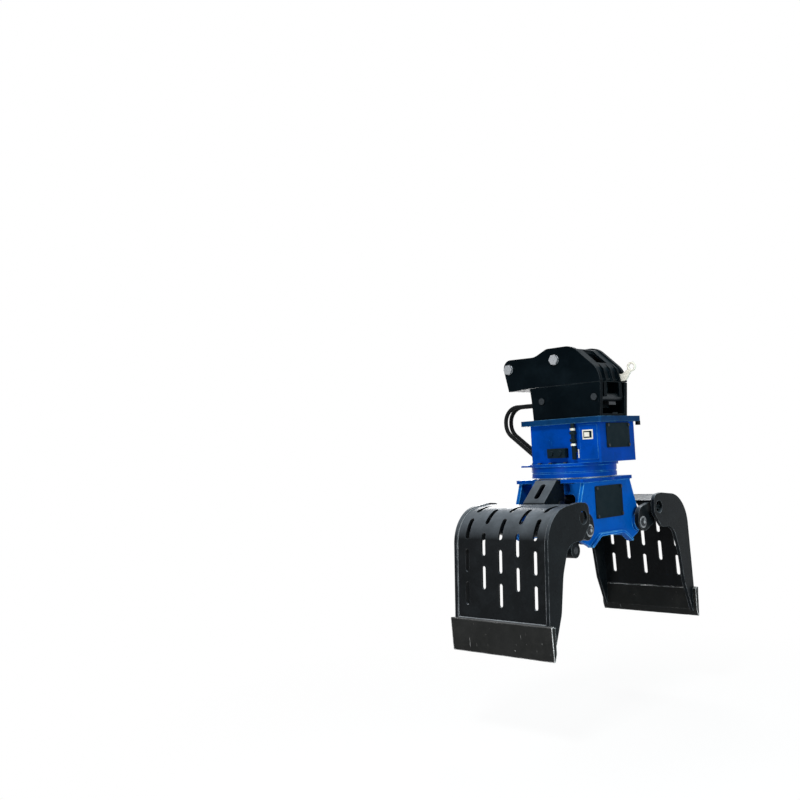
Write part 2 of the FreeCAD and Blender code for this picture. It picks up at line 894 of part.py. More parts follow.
def slew_rollers():
    """Crossed rollers of the slew bearing, leaning inwards and outwards in turn."""
    rollers = []
    reach = roller_diameter / 2
    for k in range(roller_count):
        turn = 360.0 * k / roller_count
        lean = 1 if k % 2 else -1
        axis = V(1, 0, lean).normalize()
        centre = V(race_radius, slew_y, slew_z)
        roller = Part.makeCylinder(reach, 2 * reach, centre - axis * reach, axis)
        roller.rotate(V(0, slew_y, 0), V(0, 0, 1), turn)
        rollers.append(roller)
    return rollers


def slew_pinion():
    """Pinion of the slew drive on its shaft."""
    pitch = gear_module * pinion_teeth / 2
    low = slew_z - pinion_height / 2
    high = slew_z + pinion_height / 2
    root = pitch - gear_module * dedendum
    outline = gear_outline(pinion_teeth, pitch + gear_module, root, -backlash / 2)
    gear = gear_solid(outline, pinion_y, low, high)
    shaft = rod("z", 0, pinion_y, pinion_bore_radius, low, floor_top + motor_height * shaft_share)
    return joined([gear, shaft])


def slew_motor():
    """Hydraulic motor that stands on the housing floor and turns the pinion."""
    high = floor_top + motor_height
    foot = plate("z", rectangle(-70, 70, pinion_y - 70, pinion_y + 58, 20), floor_top, floor_top + 18)
    body = rod("z", 0, pinion_y, motor_radius, floor_top, high)
    reach = motor_radius + 12
    ports = rod("x", pinion_y - 20, high - 30, 16, -reach, reach)
    back = rod("z", 0, pinion_y, motor_radius - 12, high, high + 35)
    top = floor_top + motor_height * shaft_share + 2
    room = rod("z", 0, pinion_y, pinion_bore_radius + slide_play, floor_top - 1, top)
    return joined([foot, body, ports, back]).cut(room)


def swivel_stator():
    """Outer part of the hydraulic swivel, on the housing floor."""
    high = floor_top + swivel_height
    bore = rotor_radius + slide_play
    body = tube("z", 0, slew_y, swivel_radius - 8, bore, floor_top, high)
    foot = tube("z", 0, slew_y, swivel_radius, bore, floor_top, floor_top + 12)
    cap = rod("z", 0, slew_y, swivel_radius - 16, high, high + 10)
    near = slew_y + swivel_radius - 14
    far = slew_y + swivel_radius + 8
    ports = [rod("y", x, floor_top + 55, 13, near, far) for x in (-24, 24)]
    return joined([body, foot, cap] + ports).cut(rod("z", 0, slew_y, bore, floor_top - 1, high))


def swivel_rotor():
    """Inner part of the hydraulic swivel, which turns with the yoke."""
    top = floor_top + swivel_height - 6
    stem = rod("z", 0, slew_y, rotor_radius, yoke_flange_low - 30, top)
    flange = rod("z", 0, slew_y, rotor_radius + 36, yoke_flange_low - 12, yoke_flange_low)
    reach = rotor_radius + 14
    ports = [rod("x", slew_y + y, yoke_flange_low - 22, 9, -reach, reach) for y in (-14, 14)]
    return joined([stem, flange] + ports)


def ring_bolts():
    """Bolts that hold the outer ring: those within the housing stand on its floor."""
    pieces = []
    for x, y in ring_bolt_places(outer_bolt_circle, outer_bolt_angles):
        within = abs(x) < box_width / 2 and y < slew_y + box_front
        face = floor_top if within else box_low
        pieces.append(bolt("z", x, y, face, 1, bearing_bolt, face - bearing_top + 20))
    return pieces


def port_block_piece():
    """Valve block with two screwed ports, on the left wall of the housing."""
    wall = -box_width / 2
    low_y, high_y, low_z, high_z = port_block
    body = plate("x", rectangle(low_y, high_y, low_z, high_z, 5), wall - port_block_depth, wall)
    bosses = []
    for y in (low_y + port_boss_inset, high_y - port_boss_inset):
        ends = (wall - port_boss_reach, wall + box_wall)
        bosses.append(rod("x", y, (low_z + high_z) / 2, port_boss_radius, *ends))
    return joined([body] + bosses)


hose_port_y = slew_y + box_front
hose_end_y = bulkhead_y + 24


def swept_round(points, radius, bend):
    """Round bar along straight runs, in a plane across X, with a tangent arc at each corner."""
    edges = []
    last = points[0]
    for before, corner, after in zip(points, points[1:], points[2:]):
        back = (before - corner).normalize()
        ahead = (after - corner).normalize()
        half = back.getAngle(ahead) / 2
        reach = bend / math.tan(half)
        middle = corner + (back + ahead).normalize() * (bend / math.sin(half) - bend)
        first = corner + back * reach
        edges.append(Part.LineSegment(last, first).toShape())
        last = corner + ahead * reach
        edges.append(Part.Arc(first, middle, last).toShape())
    edges.append(Part.LineSegment(last, points[-1]).toShape())
    circle = Part.Wire(Part.makeCircle(radius, points[0], points[1] - points[0]))
    return Part.Wire(edges).makePipeShell([circle], True, True)


def hose_elbow(x):
    """Middle of the angled fitting, straight out from its port."""
    return V(x, hose_port_y + hose_elbow_reach, hose_port_z)


def hose_route(x):
    """Corners of one hose's route: out and up from the housing, then back to the bracket."""
    elbow = hose_elbow(x)
    knee = V(x, slew_y + hose_reach, slew_z + hose_knee_height)
    return [
        elbow + (knee - elbow).normalize() * hose_sleeve_length,
        knee,
        V(x, slew_y + hose_reach, hose_top_z),
        V(x, hose_end_y, hose_top_z),
    ]


def supply_hoses():
    """Two hoses that leave ports on the housing and bend back to the bracket."""
    return [swept_round(hose_route(x), hose_radius, hose_bend) for x in hose_places]


def hose_port_fitting(x):
    """Angled fitting on the housing's front wall, in line with a hose's first run."""
    elbow = hose_elbow(x)
    out = hose_route(x)[1] - elbow
    stub = rod("y", x, hose_port_z, hose_fitting_radius, hose_port_y - box_wall, elbow.y)
    ball = Part.makeSphere(hose_sleeve_radius, elbow)
    sleeve = Part.makeCylinder(hose_sleeve_radius, hose_sleeve_length, elbow, out)
    nut = plate("y", hexagon(x, hose_port_z, 34), hose_port_y, hose_port_y + 14)
    return joined([stub, ball, sleeve, nut])


def bulkhead_fitting(x):
    """Straight fitting through the bulkhead, with a nut on each side."""
    nut = plate("y", hexagon(x, hose_top_z, 32), bulkhead_y, bulkhead_y + 12)
    tail = rod("y", x, hose_top_z, hose_radius + 2, bulkhead_y + 12, hose_end_y)
    stem = rod("y", x, hose_top_z, hose_stem_radius, bulkhead_y - fitting_stem, bulkhead_y)
    nut_rear = bulkhead_y - fitting_stem + 4
    back_nut = plate("y", hexagon(x, hose_top_z, back_nut_flats), nut_rear, bulkhead_y - bulkhead_plate)
    return joined([nut, tail, stem, back_nut])


def hose_fittings():
    """Fittings at both ends of each hose."""
    return [fitting(x) for x in hose_places for fitting in (hose_port_fitting, bulkhead_fitting)]


def hose_bulkhead():
    """Plate across the bracket's front that holds the hoses' upper ends."""
    low_z = hose_top_z - bulkhead_half
    outline = rectangle(-hitch_inner, hitch_inner, low_z, hose_top_z + bulkhead_half, 4)
    panel_plate = plate("y", outline, bulkhead_y - bulkhead_plate, bulkhead_y)
    hole = hose_stem_radius + 0.3
    low = bulkhead_y - bulkhead_plate - 1
    return cut_all(panel_plate, [rod("y", x, hose_top_z, hole, low, bulkhead_y + 1) for x in hose_places])


def valve_riser():
    """Upright steel pipe with two union nuts, beside the valve block."""
    x = -box_width / 2 - pipe_standoff
    y = slew_y - pipe_setback
    pipe = rod("z", x, y, pipe_radius, box_low + 20, box_top)
    lows = [slew_z + place for place in pipe_nut_places]
    nuts = [plate("z", hexagon(x, y, pipe_nut_flats), z, z + pipe_nut_height) for z in lows]
    clamp = box((x, -box_width / 2), (y - 12, y + 12), (box_low + 60, box_low + 84))
    return joined([pipe, clamp] + nuts)


# Yoke

def yoke_flange_piece():
    """Top plate of the yoke: a round seat for the bearing, widened over the side plates."""
    seat = rod("z", 0, slew_y, outer_ring_radius - 8, yoke_flange_low, bearing_low)
    wing = rectangle(-yoke_top - 27, yoke_top + 27, slew_y - yoke_face - 6, slew_y + yoke_face + 6, 16)
    whole = joined([seat, plate("z", wing, yoke_flange_low, bearing_low)])
    reach = hinge_spread - 75
    width = lever_face + 15
    cuts = []
    for side in (-1, 1):
        ends = (side * reach, side * (yoke_top + 60))
        notch = rectangle(min(ends), max(ends), slew_y - width, slew_y + width)
        cuts.append(plate("z", notch, yoke_flange_low - 1, bearing_low + 1))
    cuts.append(rod("z", 0, slew_y, rotor_radius + 0.3, yoke_flange_low - 1, bearing_low + 1))
    for x, y in ring_bolt_places(inner_bolt_circle, inner_bolt_angles):
        cuts.append(bolt_hole("z", x, y, yoke_flange_low, -1, bearing_bolt, yoke_flange))
    return cut_all(whole, cuts)


def yoke_bolts():
    """Bolts that hold the yoke on the geared ring."""
    grip = yoke_flange + 20
    places = ring_bolt_places(inner_bolt_circle, inner_bolt_angles)
    return [bolt("z", x, y, yoke_flange_low, -1, bearing_bolt, grip) for x, y in places]


def yoke_outline():
    """Side plate of the yoke: flared sides, round eyes at the hinges, an arched belly."""
    waist_z = slew_z - yoke_waist_depth
    eye_low = hinge_z - hinge_eye
    right = [
        (yoke_foot - belly_slope_run, slew_z - yoke_belly_depth, belly_bend),
        (yoke_foot, slew_z - yoke_foot_depth, 8),
        (yoke_foot + 30, slew_z - yoke_foot_depth + 14, 10),
        (hinge_spread + 20, eye_low - 2, 45),
        (hinge_spread + hinge_eye, hinge_z, 50),
        (yoke_waist, waist_z, 30),
        (yoke_top, yoke_flange_low, 0),
    ]
    return right + [(-x, z, r) for x, z, r in reversed(right)]


panel = (-panel_width / 2, panel_width / 2, slew_z - panel_depth - panel_height, slew_z - panel_depth)
panel_bolt_places = cover_bolt_places(*panel, cover_bolt_inset)


def yoke_plates():
    """Two side plates with hinge bosses and an inspection opening."""
    face = slew_y - yoke_face
    side = plate("y", yoke_outline(), face, face + yoke_plate)
    pieces = [side]
    for x in (-hinge_spread, hinge_spread):
        ends = (face - ear_gap + 1, face + yoke_plate + yoke_boss_rise)
        pieces.append(rod("y", x, hinge_z, hinge_eye - 8, *ends))
    seat = hinge_pin_radius + bush_wall
    cuts = [rod("y", x, hinge_z, seat, face - 40, face + 60) for x in (-hinge_spread, hinge_spread)]
    opening = shrunk(panel, panel_opening_margin, 12)
    cuts.append(plate("y", opening, face - 1, face + yoke_plate + 1))
    for x, z in panel_bolt_places:
        cuts.append(bolt_hole("y", x, z, face, -1, small_bolt, yoke_plate - 4))
    side = cut_all(joined(pieces), cuts + [yoke_belly(), below_belly()])
    return [side, flipped(side)]


def yoke_bushes():
    """Bronze bushes in the yoke's four hinge eyes."""
    face = slew_y - yoke_face
    pieces = []
    for x in (-hinge_spread, hinge_spread):
        bush = tube("y", x, hinge_z, hinge_pin_radius + bush_wall, hinge_pin_radius + hinge_play,
                    face - ear_gap + 1, face + yoke_plate + yoke_boss_rise)
        pieces += [bush, flipped(bush)]
    return pieces


def yoke_panels():
    """Dark cover plates over the yoke's inspection openings."""
    face = slew_y - yoke_face
    front = face - cover_thickness
    cover = plate("y", rectangle(*panel, 8), front, face)
    places = panel_bolt_places
    cover = cut_all(cover, [bolt_hole("y", x, z, front, -1, small_bolt, cover_thickness) for x, z in places])
    return [cover, flipped(cover)]


def panel_bolts():
    """Bolts of the yoke's cover plates."""
    face = slew_y - yoke_face - cover_thickness
    grip = cover_thickness + yoke_plate - 6
    pieces = []
    for x, z in panel_bolt_places:
        piece = bolt("y", x, z, face, -1, small_bolt, grip)
        pieces += [piece, flipped(piece)]
    return pieces


def belly_line():
    """Places along the underside of the belly plate, from -X to +X."""
    inner = yoke_foot - belly_slope_run
    return [
        (-yoke_foot - belly_lip, slew_z - yoke_foot_depth, 0),
        (-inner, slew_z - yoke_belly_depth, belly_bend),
        (inner, slew_z - yoke_belly_depth, belly_bend),
        (yoke_foot + belly_lip, slew_z - yoke_foot_depth, 0),
    ]


def yoke_belly():
    """Bent plate along the yoke's arched lower edge: full width between the webs, lips beyond them."""
    reach = yoke_face + belly_overhang
    belly = plate("y", bent_strip(belly_line(), belly_plate), slew_y - reach, slew_y + reach)
    low = slew_z - yoke_foot_depth - belly_plate
    high = slew_z - yoke_belly_depth + 2 * belly_plate
    for side in (-1, 1):
        ends = (side * (web_spread + web_plate / 2), side * (yoke_foot + belly_lip + 2 * belly_plate))
        belly = belly.cut(box(ends, (slew_y - yoke_inner, slew_y + yoke_inner), (low, high)))
    return belly


def below_belly():
    """Space under the belly plate, out past both side plates."""
    ends = belly_line()
    low = slew_z - yoke_foot_depth - 100
    outline = ends + [(ends[-1][0], low, 0), (ends[0][0], low, 0)]
    return plate("y", outline, slew_y - yoke_face - 1, slew_y + yoke_face + 1)


def yoke_webs():
    """Upright cross plates between the side plates, with a window for the cylinder and levers."""
    half = web_plate / 2
    low = slew_z - yoke_foot_depth
    outline = rectangle(slew_y - yoke_inner, slew_y + yoke_inner, low, yoke_flange_low)
    width = lever_face + web_window_margin
    top = cylinder_pin_z + barrel_radius + web_window_rise
    window = rectangle(slew_y - width, slew_y + width, hinge_z - web_window_low, top, 20)
    webs = []
    for x in (-web_spread, web_spread):
        web = plate("x", outline, x - half, x + half)
        web = web.cut(plate("x", window, x - half - 1, x + half + 1))
        webs.append(cut_all(web, [yoke_belly(), below_belly()]))
    return webs


def hinge_pins():
    """The shells' two hinge pins, through ears, yoke and levers."""
    reach = ear_face + 7
    pin = rod("y", hinge_spread, hinge_z, hinge_pin_radius, slew_y - reach, slew_y + reach)
    return both(pin)


lug_high = yoke_inner - 4
lug_low = lug_high - lug_width

# Shells: drawn for the side at +X, with u as the distance out from the middle

def shell_corner():
    """Where the back of a shell and its crest would meet without their bend."""
    return (shell_back - corner_setback, slew_z - crest_depth - crest_fall)


def back_line(inset):
    """Blade joint, back, crest and inner end of a shell's outer edge, moved in by inset."""
    corner_u, corner_z = shell_corner()
    blade_top = slew_z - shell_tip_depth + blade_height
    return [
        (shell_back + tip_flare - inset, blade_top, 0),
        (corner_u - inset, corner_z - inset, crest_radius - inset),
        (crest_end - inset, slew_z - crest_depth - inset, 60),
        (crest_end - 95, slew_z - crest_depth - 32 - inset, 0),
    ]


def side_outline():
    """Side plate of a shell, from the blade up round the back and crest to the hinge corner."""
    corner_u, corner_z = shell_corner()
    tip_z = slew_z - shell_tip_depth
    blade_top = tip_z + blade_height
    return [
        (shell_back - 12, tip_z + 18, 4),
        (shell_back - skin_inset, blade_top - skin_inset, 0),
        (shell_back + tip_flare - skin_inset, blade_top - skin_inset, 0),
        (shell_back + tip_flare - skin_inset, blade_top, 0),
        (shell_back + tip_flare, blade_top, 0),
        (corner_u, corner_z, crest_radius),
        (crest_end - 15, slew_z - crest_depth + 2, 60),
        (neck_end + 4, slew_z - crest_depth - 6, neck_radius + 2),
        (neck_end, hinge_z + 45, neck_radius),
        (neck_end + 74, hinge_z - 39, 50),
        (throat_run - 61, hinge_z - 43, 90),
        (throat_run, slew_z - throat_depth, 260),
        (jaw_run, slew_z - jaw_depth, 120),
    ]


def shell_sides():
    """Two side plates of a shell, each with its round hole beside the hinge."""
    face = slew_y - shell_face
    side = plate("y", side_outline(), face, face + shell_side)
    hole_z = slew_z - side_hole_depth
    hole = rod("y", side_hole_run, hole_z, side_hole_radius, face - 1, face + shell_side + 1)
    side = side.cut(hole)
    return [side, flipped(side)]


def skin_path():
    """Places along the outside of a shell's skin, from the blade up, as (u, z, direction)."""
    start, corner, crest = back_line(skin_inset)[:3]
    first = V(corner[0] - start[0], corner[1] - start[1], 0)
    second = V(crest[0] - corner[0], crest[1] - corner[1], 0)
    turn = first.getAngle(second)
    tangent = corner[2] * math.tan(turn / 2)
    straight = first.Length - tangent
    bend = corner[2] * turn
    first.normalize()
    second.normalize()

    def at(distance):
        here = V(start[0], start[1], 0)
        if distance < straight:
            return here + first * distance, math.atan2(first.y, first.x)
        here += first * straight
        angle = math.atan2(first.y, first.x)
        if distance < straight + bend:
            swing = (distance - straight) / corner[2]
            centre = here + V(-first.y, first.x, 0) * corner[2]
            out = V(first.y, -first.x, 0)
            turned = V(out.x * math.cos(swing) - out.y * math.sin(swing),
                       out.x * math.sin(swing) + out.y * math.cos(swing), 0)
            return centre + turned * corner[2], angle + swing
        here = V(corner[0], corner[1], 0) + second * tangent
        return here + second * (distance - straight - bend), math.atan2(second.y, second.x)

    return at


def skin_slots():
    """Staggered round-ended slots through a shell's skin."""
    at = skin_path()
    slots = []
    for column in range(-2, 3):
        odd = column % 2
        distance = slot_start + (slot_pitch / 2 if odd else 0)
        for row in range(3 if odd else 4):
            centre, angle = at(distance + row * slot_pitch)
            half = slot_length / 2
            outline = rectangle(-half, half, -slot_width / 2, slot_width / 2, slot_width / 2 - 0.01)
            slot = plate("z", outline, -40, 40)
            slot.rotate(V(0, 0, 0), V(0, 1, 0), -math.degrees(angle))
            slots.append((centre, column, slot))
    return slots


def shell_skin_piece():
    """Curved, perforated skin between the side plates of a shell."""
    outline = bent_strip(back_line(skin_inset), shell_skin)
    skin = plate("y", outline, slew_y - shell_inner, slew_y + shell_inner)
    cuts = []
    for centre, column, slot in skin_slots():
        slot.translate(V(centre.x, slew_y + column * column_pitch, centre.y))
        cuts.append(slot)
    return cut_all(skin, cuts)


def shell_blade():
    """Cutting blade: a thick bevelled plate across the shell's tip."""
    tip_z = slew_z - shell_tip_depth
    top = tip_z + blade_height
    out = shell_back + blade_thickness
    outline = [
        (out - 8, tip_z, 2),
        (out + 2, top, 6),
        (shell_back + tip_flare - skin_inset, top, 0),
        (shell_back + tip_flare - skin_inset, top - skin_inset, 0),
        (shell_back - skin_inset, top - skin_inset, 0),
        (shell_back - skin_inset, tip_z + 40, 0),
        (out - 14, tip_z, 0),
    ]
    return plate("y", outline, slew_y - blade_width / 2, slew_y + blade_width / 2)


def ear_outline():
    """Hinge ear of a shell: an eye that widens into the underside of the skin."""
    return [
        (hinge_spread - hinge_eye + 4, hinge_z - 4, 44),
        (hinge_spread - 34, hinge_z + 84, 60),
        (crest_end - 93, slew_z - crest_depth - 52, 10),
        (crest_end, slew_z - crest_depth - 21, 0),
        (crest_end + 90, slew_z - crest_depth - 33, 0),
        (crest_end + 25, hinge_z + 62, 30),
        (crest_end - 45, hinge_z - 15, 30),
        (hinge_spread + 8, hinge_z - hinge_eye - 4, 48),
    ]


def shell_ears():
    """Two hinge ears of a shell, outside the yoke's side plates, each tied to its side plate."""
    face = slew_y - ear_face
    ear = plate("y", ear_outline(), face, face + ear_plate)
    tie_z = slew_z - tie_depth
    tie = box((tie_near, tie_far), (slew_y - shell_inner, face), (tie_z - tie_height, tie_z))
    ear = joined([ear, tie]).cut(shell_skin_piece())
    ear = ear.cut(rod("y", hinge_spread, hinge_z, hinge_pin_radius + pin_play, face - 40, face + 60))
    return [ear, flipped(ear)]


def lever_outline():
    """Cheek of a lever: hinge eye below, cylinder pin above, sloping outer edge."""
    top = slew_z - lever_top_depth
    return [
        (cylinder_pin_x - lever_heel, top - 8, 6),
        (hinge_spread - 14, top, 4),
        (lever_edge_run, slew_z - crest_depth - lever_edge_drop, 0),
        (lever_edge_run + 6, slew_z - crest_depth - lever_edge_drop - 14, 0),
        (lever_edge_run - 4, hinge_z + 92, 30),
        (hinge_spread + 52, hinge_z + 40, 40),
        (hinge_spread + 50, hinge_z - 40, 46),
        (hinge_spread - 46, hinge_z - 46, 44),
        (cylinder_pin_x - lever_heel, cylinder_pin_z - 60, 40),
    ]


def shell_levers():
    """Two cheeks of a shell's lever, joined by the hinge tube that turns on the hinge pin."""
    near = slew_y - lever_face
    cheek = plate("y", lever_outline(), near, near + lever_plate)
    reach = yoke_inner - 16
    hub = rod("y", hinge_spread, hinge_z, hinge_pin_radius + hub_wall, slew_y - reach, slew_y + reach)
    lever = joined([cheek, flipped(cheek), hub, lever_lug(), lever_cover()]).cut(shell_skin_piece())
    lug_x = hinge_spread + lug_out
    bores = [
        rod("y", hinge_spread, hinge_z, hinge_pin_radius + hinge_play, slew_y - 300, slew_y + 300),
        rod("y", cylinder_pin_x, cylinder_pin_z, cylinder_pin_radius + pin_play, slew_y - 300, slew_y + 300),
        rod("y", lug_x, hinge_z - lug_drop, lug_pin_radius, slew_y, slew_y + 300),
    ]
    return cut_all(lever, bores)


def lever_lug():
    """Arm and boss under the hinge tube, on one side only, for a timing link."""
    hub_radius = hinge_pin_radius + hub_wall
    lug = V(lug_out, -lug_drop, 0)
    across = V(lug_drop, lug_out, 0).normalize()
    root = [across * hub_radius * side for side in (-0.9, 0.9)]
    tip = [lug + across * lug_radius * side for side in (-0.95, 0.95)]
    corners = [root[0], tip[0], tip[1], root[1]]
    outline = [(hinge_spread + c.x, hinge_z + c.y, 0) for c in corners]
    low = slew_y + lug_low
    high = slew_y + lug_high
    arm = plate("y", outline, low + 12, high - 12)
    boss = rod("y", hinge_spread + lug_out, hinge_z - lug_drop, lug_radius, low, high)
    return joined([arm, boss])


def lug_pin():
    """Short pin in the timing link's boss."""
    low = slew_y + lug_low
    high = slew_y + lug_high
    x = hinge_spread + lug_out
    z = hinge_z - lug_drop
    return rod("y", x, z, lug_pin_radius - pin_play, low - 2, high + 2)


def lever_cover():
    """Slotted plate over a lever's outer edge."""
    top = slew_z - lever_top_depth
    edge = (lever_edge_run, slew_z - crest_depth - lever_edge_drop, 0)
    points = [edge, (hinge_spread - 14, top, 0)]
    sheet = plate("y", bent_strip(points, -slot_cover)[::-1], slew_y - lever_face, slew_y + lever_face)
    along = V(points[1][0] - points[0][0], points[1][1] - points[0][1], 0)
    middle = V((points[0][0] + points[1][0]) / 2, (points[0][1] + points[1][1]) / 2, 0)
    half = along.Length * lever_slot_share
    across = lever_slot_width / 2
    slot = plate("z", rectangle(-half, half, -across, across, across - 0.1), -60, 60)
    slot.rotate(V(0, 0, 0), V(0, 1, 0), -math.degrees(math.atan2(along.y, along.x)))
    slot.translate(V(middle.x, slew_y, middle.y))
    return sheet.cut(slot).cut(shell_skin_piece())


def cylinder_pin():
    """Pin that joins the cylinder to a lever, with a keeper head at each end."""
    reach = lever_face
    shaft = rod("y", cylinder_pin_x, cylinder_pin_z, cylinder_pin_radius, slew_y - reach, slew_y + reach)
    near = slew_y - reach
    head = rod("y", cylinder_pin_x, cylinder_pin_z, cylinder_pin_radius + 7, near - 8, near)
    return joined([shaft, head, flipped(head)])


# Cylinder: barrel on the lever at -X, rod on the lever at +X

barrel_start = -cylinder_pin_x + cylinder_eye + 12
barrel_end = barrel_start + barrel_length


def along_x(radius, low, high):
    """Round bar on the cylinder's axis."""
    return rod("x", slew_y, cylinder_pin_z, radius, low, high)


def eye(x, width):
    """Round eye across the cylinder's axis."""
    return rod("y", x, cylinder_pin_z, cylinder_eye, slew_y - width / 2, slew_y + width / 2)


def pin_bore(x):
    """Bore of a cylinder eye for its pin."""
    reach = lever_gap
    radius = cylinder_pin_radius + hinge_play
    return rod("y", x, cylinder_pin_z, radius, slew_y - reach, slew_y + reach)


def cylinder_barrel():
    """Barrel with its eye and two ports."""
    neck = along_x(cylinder_eye - 2, -cylinder_pin_x, barrel_start + 4)
    body = along_x(barrel_radius, barrel_start, barrel_end)
    top = cylinder_pin_z + barrel_radius + 12
    ports = [rod("z", x, slew_y, 13, cylinder_pin_z, top) for x in (barrel_start + 30, barrel_end - 30)]
    whole = joined([neck, body, eye(-cylinder_pin_x, lever_gap - 4)] + ports)
    whole = whole.cut(along_x(bore_radius, barrel_start + 18, barrel_end + 1))
    return whole.cut(pin_bore(-cylinder_pin_x))


def cylinder_gland():
    """Screwed gland at the barrel's mouth."""
    collar = along_x(barrel_radius, barrel_end, barrel_end + 10)
    plug = along_x(bore_radius, barrel_end - gland_length, barrel_end)
    bore = along_x(piston_rod_radius + slide_play, barrel_end - 2 * gland_length, barrel_end + gland_length)
    return joined([collar, plug]).cut(bore)


def cylinder_rod():
    """Piston, rod and eye in one."""
    piston_start = barrel_start + 20
    piston = along_x(bore_radius - slide_play, piston_start, piston_start + piston_length)
    stem = along_x(piston_rod_radius, piston_start, cylinder_pin_x - cylinder_eye + 6)
    whole = joined([piston, stem, eye(cylinder_pin_x, lever_gap - 4)])
    return whole.cut(pin_bore(cylinder_pin_x))


def main():
    os.makedirs("parts", exist_ok=True)
    save("hitch_plates", hitch_plates())
    save("arm_pin", hitch_pin(0, 0))
    save("link_pin", hitch_pin(link_y, link_rise))
    save("hitch_floor", hitch_floor())
    save("hitch_cross_tube", hitch_tube())
    save("hitch_cover", hitch_cover())
    save("hitch_ribs", hitch_ribs())
    save("lifting_eye", lifting_eye())
    save("bracket_plates", bracket_plates())
    save("bracket_pins", [bracket_pin(front_pin_y), bracket_pin(rear_pin_y)])
    save("bracket_floor", bracket_floor())
    save("bracket_bolts", base_bolts())
    save("front_claws", front_claws())
    save("rear_saddles", rear_saddles())
    save("lock_bar", lock_bar())
    save("lock_guide", lock_guide())
    save("lock_cylinder", lock_cylinder())
    save("head_top_plate", head_top_piece())
    save("head_box", head_box())
    save("head_rear_cover", rear_cover_plate())
    save("head_side_cover", side_cover_plate())
    save("head_cover_bolts", head_cover_bolts())
    save("head_floor", head_floor())
    save("slew_outer_ring", outer_ring())
    save("slew_ring_bolts", ring_bolts())
    save("slew_rollers", slew_rollers())
    save("slew_gear_ring", inner_ring())
    save("slew_pinion", slew_pinion())
    save("slew_motor", slew_motor())
    save("swivel_stator", swivel_stator())
    save("swivel_rotor", swivel_rotor())
    save("valve_block", port_block_piece())
    save("valve_pipe", valve_riser())
    save("supply_hoses", supply_hoses())
    save("hose_fittings", hose_fittings())
    save("hose_bulkhead", hose_bulkhead())
    save("yoke_flange", yoke_flange_piece())
    save("yoke_bolts", yoke_bolts())
    save("yoke_plates", yoke_plates())
    save("yoke_bushes", yoke_bushes())
    save("yoke_belly", yoke_belly())
    save("yoke_webs", yoke_webs())
    save("yoke_panels", yoke_panels())
    save("panel_bolts", panel_bolts())
    save("hinge_pins", hinge_pins())
    shell = {
        "skin": shell_skin_piece(),
        "sides": shell_sides(),
        "blade": shell_blade(),
        "ears": shell_ears(),
        "lever": shell_levers(),
        "pins": [cylinder_pin(), lug_pin()],
    }
    for piece, shape in shell.items():
        group = shape if isinstance(shape, list) else [shape]
        save("right_" + piece, group)
        save("left_" + piece, [turned(solid) for solid in group])
    save("cylinder_barrel", cylinder_barrel())
    save("cylinder_gland", cylinder_gland())
    save("cylinder_rod", cylinder_rod())


main()
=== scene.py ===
import json
import math

import bpy
from mathutils import Matrix, Vector


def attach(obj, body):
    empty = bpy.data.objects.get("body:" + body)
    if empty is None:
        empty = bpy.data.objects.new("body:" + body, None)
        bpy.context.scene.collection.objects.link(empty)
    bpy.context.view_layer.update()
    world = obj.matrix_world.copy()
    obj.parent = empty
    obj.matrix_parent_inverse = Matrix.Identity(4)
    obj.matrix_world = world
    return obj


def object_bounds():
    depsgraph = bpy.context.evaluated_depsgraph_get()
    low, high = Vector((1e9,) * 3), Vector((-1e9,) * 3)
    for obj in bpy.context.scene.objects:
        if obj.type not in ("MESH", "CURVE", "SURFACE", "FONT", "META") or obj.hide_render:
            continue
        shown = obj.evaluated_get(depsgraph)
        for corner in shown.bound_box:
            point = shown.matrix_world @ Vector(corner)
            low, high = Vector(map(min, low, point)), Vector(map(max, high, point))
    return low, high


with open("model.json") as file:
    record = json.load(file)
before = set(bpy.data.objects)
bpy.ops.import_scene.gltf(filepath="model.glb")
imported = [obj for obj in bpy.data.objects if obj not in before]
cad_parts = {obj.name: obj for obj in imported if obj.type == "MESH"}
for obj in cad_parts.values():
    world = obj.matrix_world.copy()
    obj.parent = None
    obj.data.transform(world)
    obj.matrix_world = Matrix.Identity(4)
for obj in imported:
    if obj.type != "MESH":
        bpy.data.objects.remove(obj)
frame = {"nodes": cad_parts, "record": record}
cad_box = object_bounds()
scene = bpy.context.scene

# Camera, as fitted to the photograph's perspective, in degrees and millimetres
camera_place = Vector((-4.567, -3.363, -0.491))
camera_azimuth = -46.05
camera_elevation = -3.59
camera_roll = -2.85
camera_lens = 42.3
sensor_width = 36.0

# Places that the trim shares with the solids
slew_y = -0.315
slew_z = -0.612
wall_x = -0.184
cover_x = wall_x - 0.006
head_top = slew_z + 0.299
head_under_top = head_top - 0.030
box_rear = slew_y - 0.299
box_front = slew_y + 0.158
top_plate_rear = slew_y - 0.326
bracket_x = 0.140
bracket_rear = slew_y - 0.283
flange_low = slew_z - 0.055
flange_half = 0.235
yoke_face = 0.217
hinge_x = 0.278
hinge_z = slew_z - 0.307
ear_face = 0.261
pipe_x = wall_x - 0.020
pipe_y = slew_y - 0.143
pipe_radius = 0.011

# Framed plate on the head's left wall
plate_rear = slew_y - 0.262
plate_front = slew_y - 0.196
plate_low = slew_z + 0.178
plate_high = slew_z + 0.230
plate_border = 0.007
panel_rear_inset = 0.022
panel_front_inset = 0.012
panel_edge_inset = 0.014
frame_thickness = 0.0015
field_sink = 0.0012
field_reach = 0.0022
panel_sink = 0.0020
panel_reach = 0.0030

# Clips of the pipe and the strap beside it
collar_heights = (slew_z + 0.152, slew_z + 0.236)
collar_half = 0.006
collar_radius = 0.014
collar_play = 0.0002
collar_sides = 24
strap_rear = slew_y - 0.165
strap_width = 0.006
strap_low = slew_z + 0.078
strap_high = slew_z + 0.126
strap_thickness = 0.002

